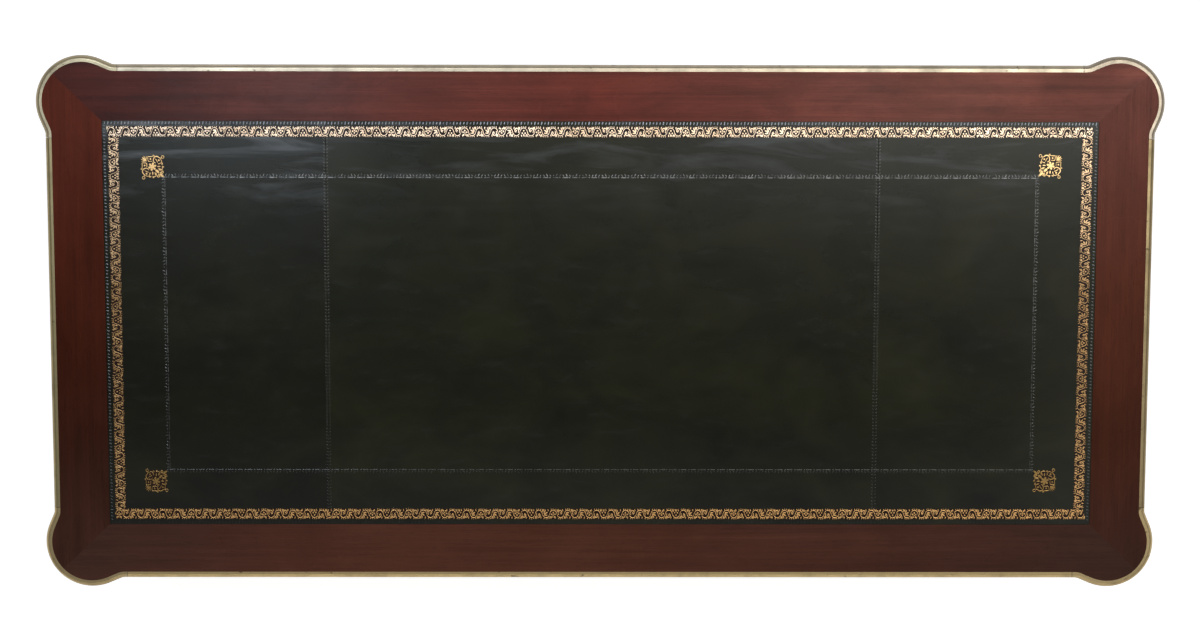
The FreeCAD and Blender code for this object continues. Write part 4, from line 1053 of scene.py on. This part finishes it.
# Each border board's tones at places along an axis, the shine of its polish, and its figure's strength
WOOD_TONES = {
    "back": (X_AXIS, (
        (-0.78, (0.060, 0.0105, 0.0060)), (-0.45, (0.104, 0.0275, 0.0195)), (0.0, (0.112, 0.0200, 0.0118)),
        (0.55, (0.150, 0.0400, 0.0255)), (0.82, (0.136, 0.0350, 0.0225)),
    )),
    "front": (X_AXIS, (
        (-0.80, (0.052, 0.0202, 0.0134)), (-0.25, (0.082, 0.0258, 0.0140)), (0.75, (0.046, 0.017, 0.0105)),
    )),
    "left": (Y_AXIS, (
        (-0.40, (0.050, 0.0195, 0.0130)), (-0.19, (0.033, 0.0090, 0.0048)),
        (0.05, (0.050, 0.0096, 0.0037)), (0.31, (0.094, 0.0180, 0.0085)),
    )),
    "right": (Y_AXIS, (
        (-0.40, (0.044, 0.0155, 0.0095)), (-0.19, (0.050, 0.0112, 0.0038)),
        (0.05, (0.078, 0.0165, 0.0058)), (0.38, (0.136, 0.0350, 0.0225)),
    )),
}
WOOD_SHINES = {"back": 0.11, "front": 0.13, "left": 0.06, "right": 0.10}
WOOD_FIGURES = {"back": 2.0, "front": 1.0, "left": 1.2, "right": 1.0}
FRIEZE_TONE = (X_AXIS, ((-0.8, (0.066, 0.018, 0.010)), (0.8, (0.066, 0.018, 0.010))))


def cover(node, material):
    """Give a CAD node one material."""
    slots = NODES[node].data.materials
    slots.clear()
    slots.append(material)


for index, (part, tones) in enumerate(WOOD_TONES.items()):
    grain = X_AXIS if part in ("front", "back") else Y_AXIS
    board_wood = mahogany(
        "mahogany_border_" + part, grain, tones, index + 1.0, WOOD_SHINES[part], WOOD_FIGURES[part],
    )
    cover("top_border_" + part, board_wood)
rail_wood = mahogany("mahogany_rails", X_AXIS, FRIEZE_TONE, 6.0)
end_wood = mahogany("mahogany_ends", Y_AXIS, FRIEZE_TONE, 7.0)
post_wood = mahogany("mahogany_posts", Z_AXIS, FRIEZE_TONE, 8.0)
oak_long = oak("oak_long", X_AXIS, 1.0)
oak_deep = oak("oak_deep", Y_AXIS, 2.0)
mount_brass = brass("brass_mounts", GOLDEN, 2.0)
lock_steel = steel("lock_steel")
for node in ("apron_back", "front_top_rail", "front_bottom_rail"):
    cover(node, rail_wood)
for node in ("apron_left", "apron_right"):
    cover(node, end_wood)
cover("drawer_stiles", post_wood)
for corner, colour in CORNER_BRASSES.items():
    cover("leg_" + corner, post_wood)
    cover("corner_moulding_" + corner, brass("brass_corner_" + corner, colour, 1.0, RIM_SHADE_SHARE))
for side, colour in EDGE_BRASSES.items():
    cover("edge_moulding_" + side, brass("brass_edge_" + side, colour, 1.0, RIM_SHADE_SHARE))
for node in ("moulding_pins", "foot_sabots", "leg_rings", "leg_reeds", "apron_frames"):
    cover(node, mount_brass)
cover("top_core_panel", oak_long)
for node in ("drawer_partitions", "drawer_runners", "drawer_kickers", "drawer_stops"):
    cover(node, oak_deep)
cover("top_screws", lock_steel)
for index, part in enumerate(("left", "centre", "right")):
    prefix = "drawer_" + part + "_"
    cover(prefix + "front", mahogany("mahogany_drawer_" + part, X_AXIS, FRIEZE_TONE, 10.0 + index))
    cover(prefix + "sides", oak_deep)
    cover(prefix + "back", oak_long)
    cover(prefix + "bottom", oak_long)
    cover(prefix + "brasses", mount_brass)
    cover(prefix + "key", mount_brass)
    cover(prefix + "lock", lock_steel)
    cover(prefix + "lock_bolt", lock_steel)


FLOOR_SIZE = 60.0
FLOOR_GLOW = 0.64
FLOOR_WHITE = 0.8
# Sky: brightness at the horizon and overhead, and the heights between which it changes
SKY_HORIZON = 1.0
SKY_ZENITH = 0.224
SKY_LOW = 0.12
SKY_HIGH = 0.65
CEILING = 3.8
# Lamps: place, size, brightness and colour
SOFTBOXES = {
    "softbox_back_left": ((-0.93, 0.92), (0.55, 1.5), 8.5, (0.88, 0.99, 1.14)),
    "softbox_back_middle": ((0.02, 0.83), (0.6, 1.5), 1.8, (1.0, 1.0, 1.0)),
    "softbox_back_right": ((1.10, 0.83), (1.5, 1.5), 4.6, (1.0, 1.0, 0.97)),
    "softbox_right": ((1.9, -0.4), (1.2, 1.6), 0.7, (1.0, 1.0, 1.0)),
    "softbox_front": ((0.0, -3.0), (4.0, 1.4), 1.6, (1.0, 0.97, 0.92)),
}


def studio_floor():
    """A pale floor that shows white and keeps the shadow."""
    half = FLOOR_SIZE / 2
    mesh = bpy.data.meshes.new("studio_floor")
    corners = [(-half, -half, 0), (half, -half, 0), (half, half, 0), (-half, half, 0)]
    mesh.from_pydata(corners, [], [(0, 1, 2, 3)])
    made = Shader("studio_floor")
    white = (FLOOR_WHITE, FLOOR_WHITE, FLOOR_WHITE, 1.0)
    plain = made.add("ShaderNodeBsdfDiffuse", {"Color": white}).outputs[0]
    glow = made.add("ShaderNodeEmission", {"Strength": FLOOR_GLOW}).outputs[0]
    bright = made.add("ShaderNodeAddShader", {0: plain, 1: glow}).outputs[0]
    rays = made.add("ShaderNodeLightPath").outputs
    seen = made.math("MAXIMUM", rays["Is Camera Ray"], rays["Is Glossy Ray"])
    seen = made.math("MAXIMUM", seen, rays["Is Transmission Ray"])
    shown = made.add("ShaderNodeMixShader", {0: seen, 1: plain, 2: bright}).outputs[0]
    output = made.add("ShaderNodeOutputMaterial")
    made.tree.links.new(shown, output.inputs["Surface"])
    mesh.materials.append(made.material)
    floor = bpy.data.objects.new("studio_floor", mesh)
    bpy.context.scene.collection.objects.link(floor)


def studio_sky():
    """Soft surrounding light: white walls, a dimmer ceiling."""
    world = bpy.data.worlds.new("studio")
    bpy.context.scene.world = world
    world.use_nodes = True
    tree = world.node_tree
    tree.nodes.clear()
    place = tree.nodes.new("ShaderNodeTexCoord")
    split = tree.nodes.new("ShaderNodeSeparateXYZ")
    level = tree.nodes.new("ShaderNodeMapRange")
    level.inputs["From Min"].default_value = SKY_LOW
    level.inputs["From Max"].default_value = SKY_HIGH
    level.inputs["To Min"].default_value = SKY_HORIZON
    level.inputs["To Max"].default_value = SKY_ZENITH
    shade = tree.nodes.new("ShaderNodeBackground")
    shade.inputs["Color"].default_value = (1.0, 1.0, 1.0, 1.0)
    output = tree.nodes.new("ShaderNodeOutputWorld")
    tree.links.new(place.outputs["Generated"], split.inputs[0])
    tree.links.new(split.outputs["Z"], level.inputs["Value"])
    tree.links.new(level.outputs["Result"], shade.inputs["Strength"])
    tree.links.new(shade.outputs[0], output.inputs["Surface"])


def softbox(name, place, size, radiance, colour):
    """A rectangular lamp of one brightness under the ceiling, facing down."""
    lamp = bpy.data.lights.new(name, "AREA")
    lamp.shape = "RECTANGLE"
    lamp.size, lamp.size_y = size
    lamp.energy = radiance * math.pi * size[0] * size[1]
    lamp.color = colour
    made = bpy.data.objects.new(name, lamp)
    made.location = (*place, CEILING)
    bpy.context.scene.collection.objects.link(made)


studio_floor()
studio_sky()
for name, (place, size, radiance, colour) in SOFTBOXES.items():
    softbox(name, place, size, radiance, colour)

lens = bpy.data.cameras.new("camera")
lens.sensor_width = CAMERA_SENSOR
lens.lens = CAMERA_FOCUS_PIXELS / PHOTO_WIDTH * CAMERA_SENSOR
lens.clip_end = CAMERA_FAR
camera = bpy.data.objects.new("camera", lens)
camera.location = CAMERA_PLACE
camera.rotation_euler = [math.radians(angle) for angle in CAMERA_TURN_DEG]
bpy.context.scene.collection.objects.link(camera)
bpy.context.scene.camera = camera
bpy.context.scene.view_settings.view_transform = "Standard"
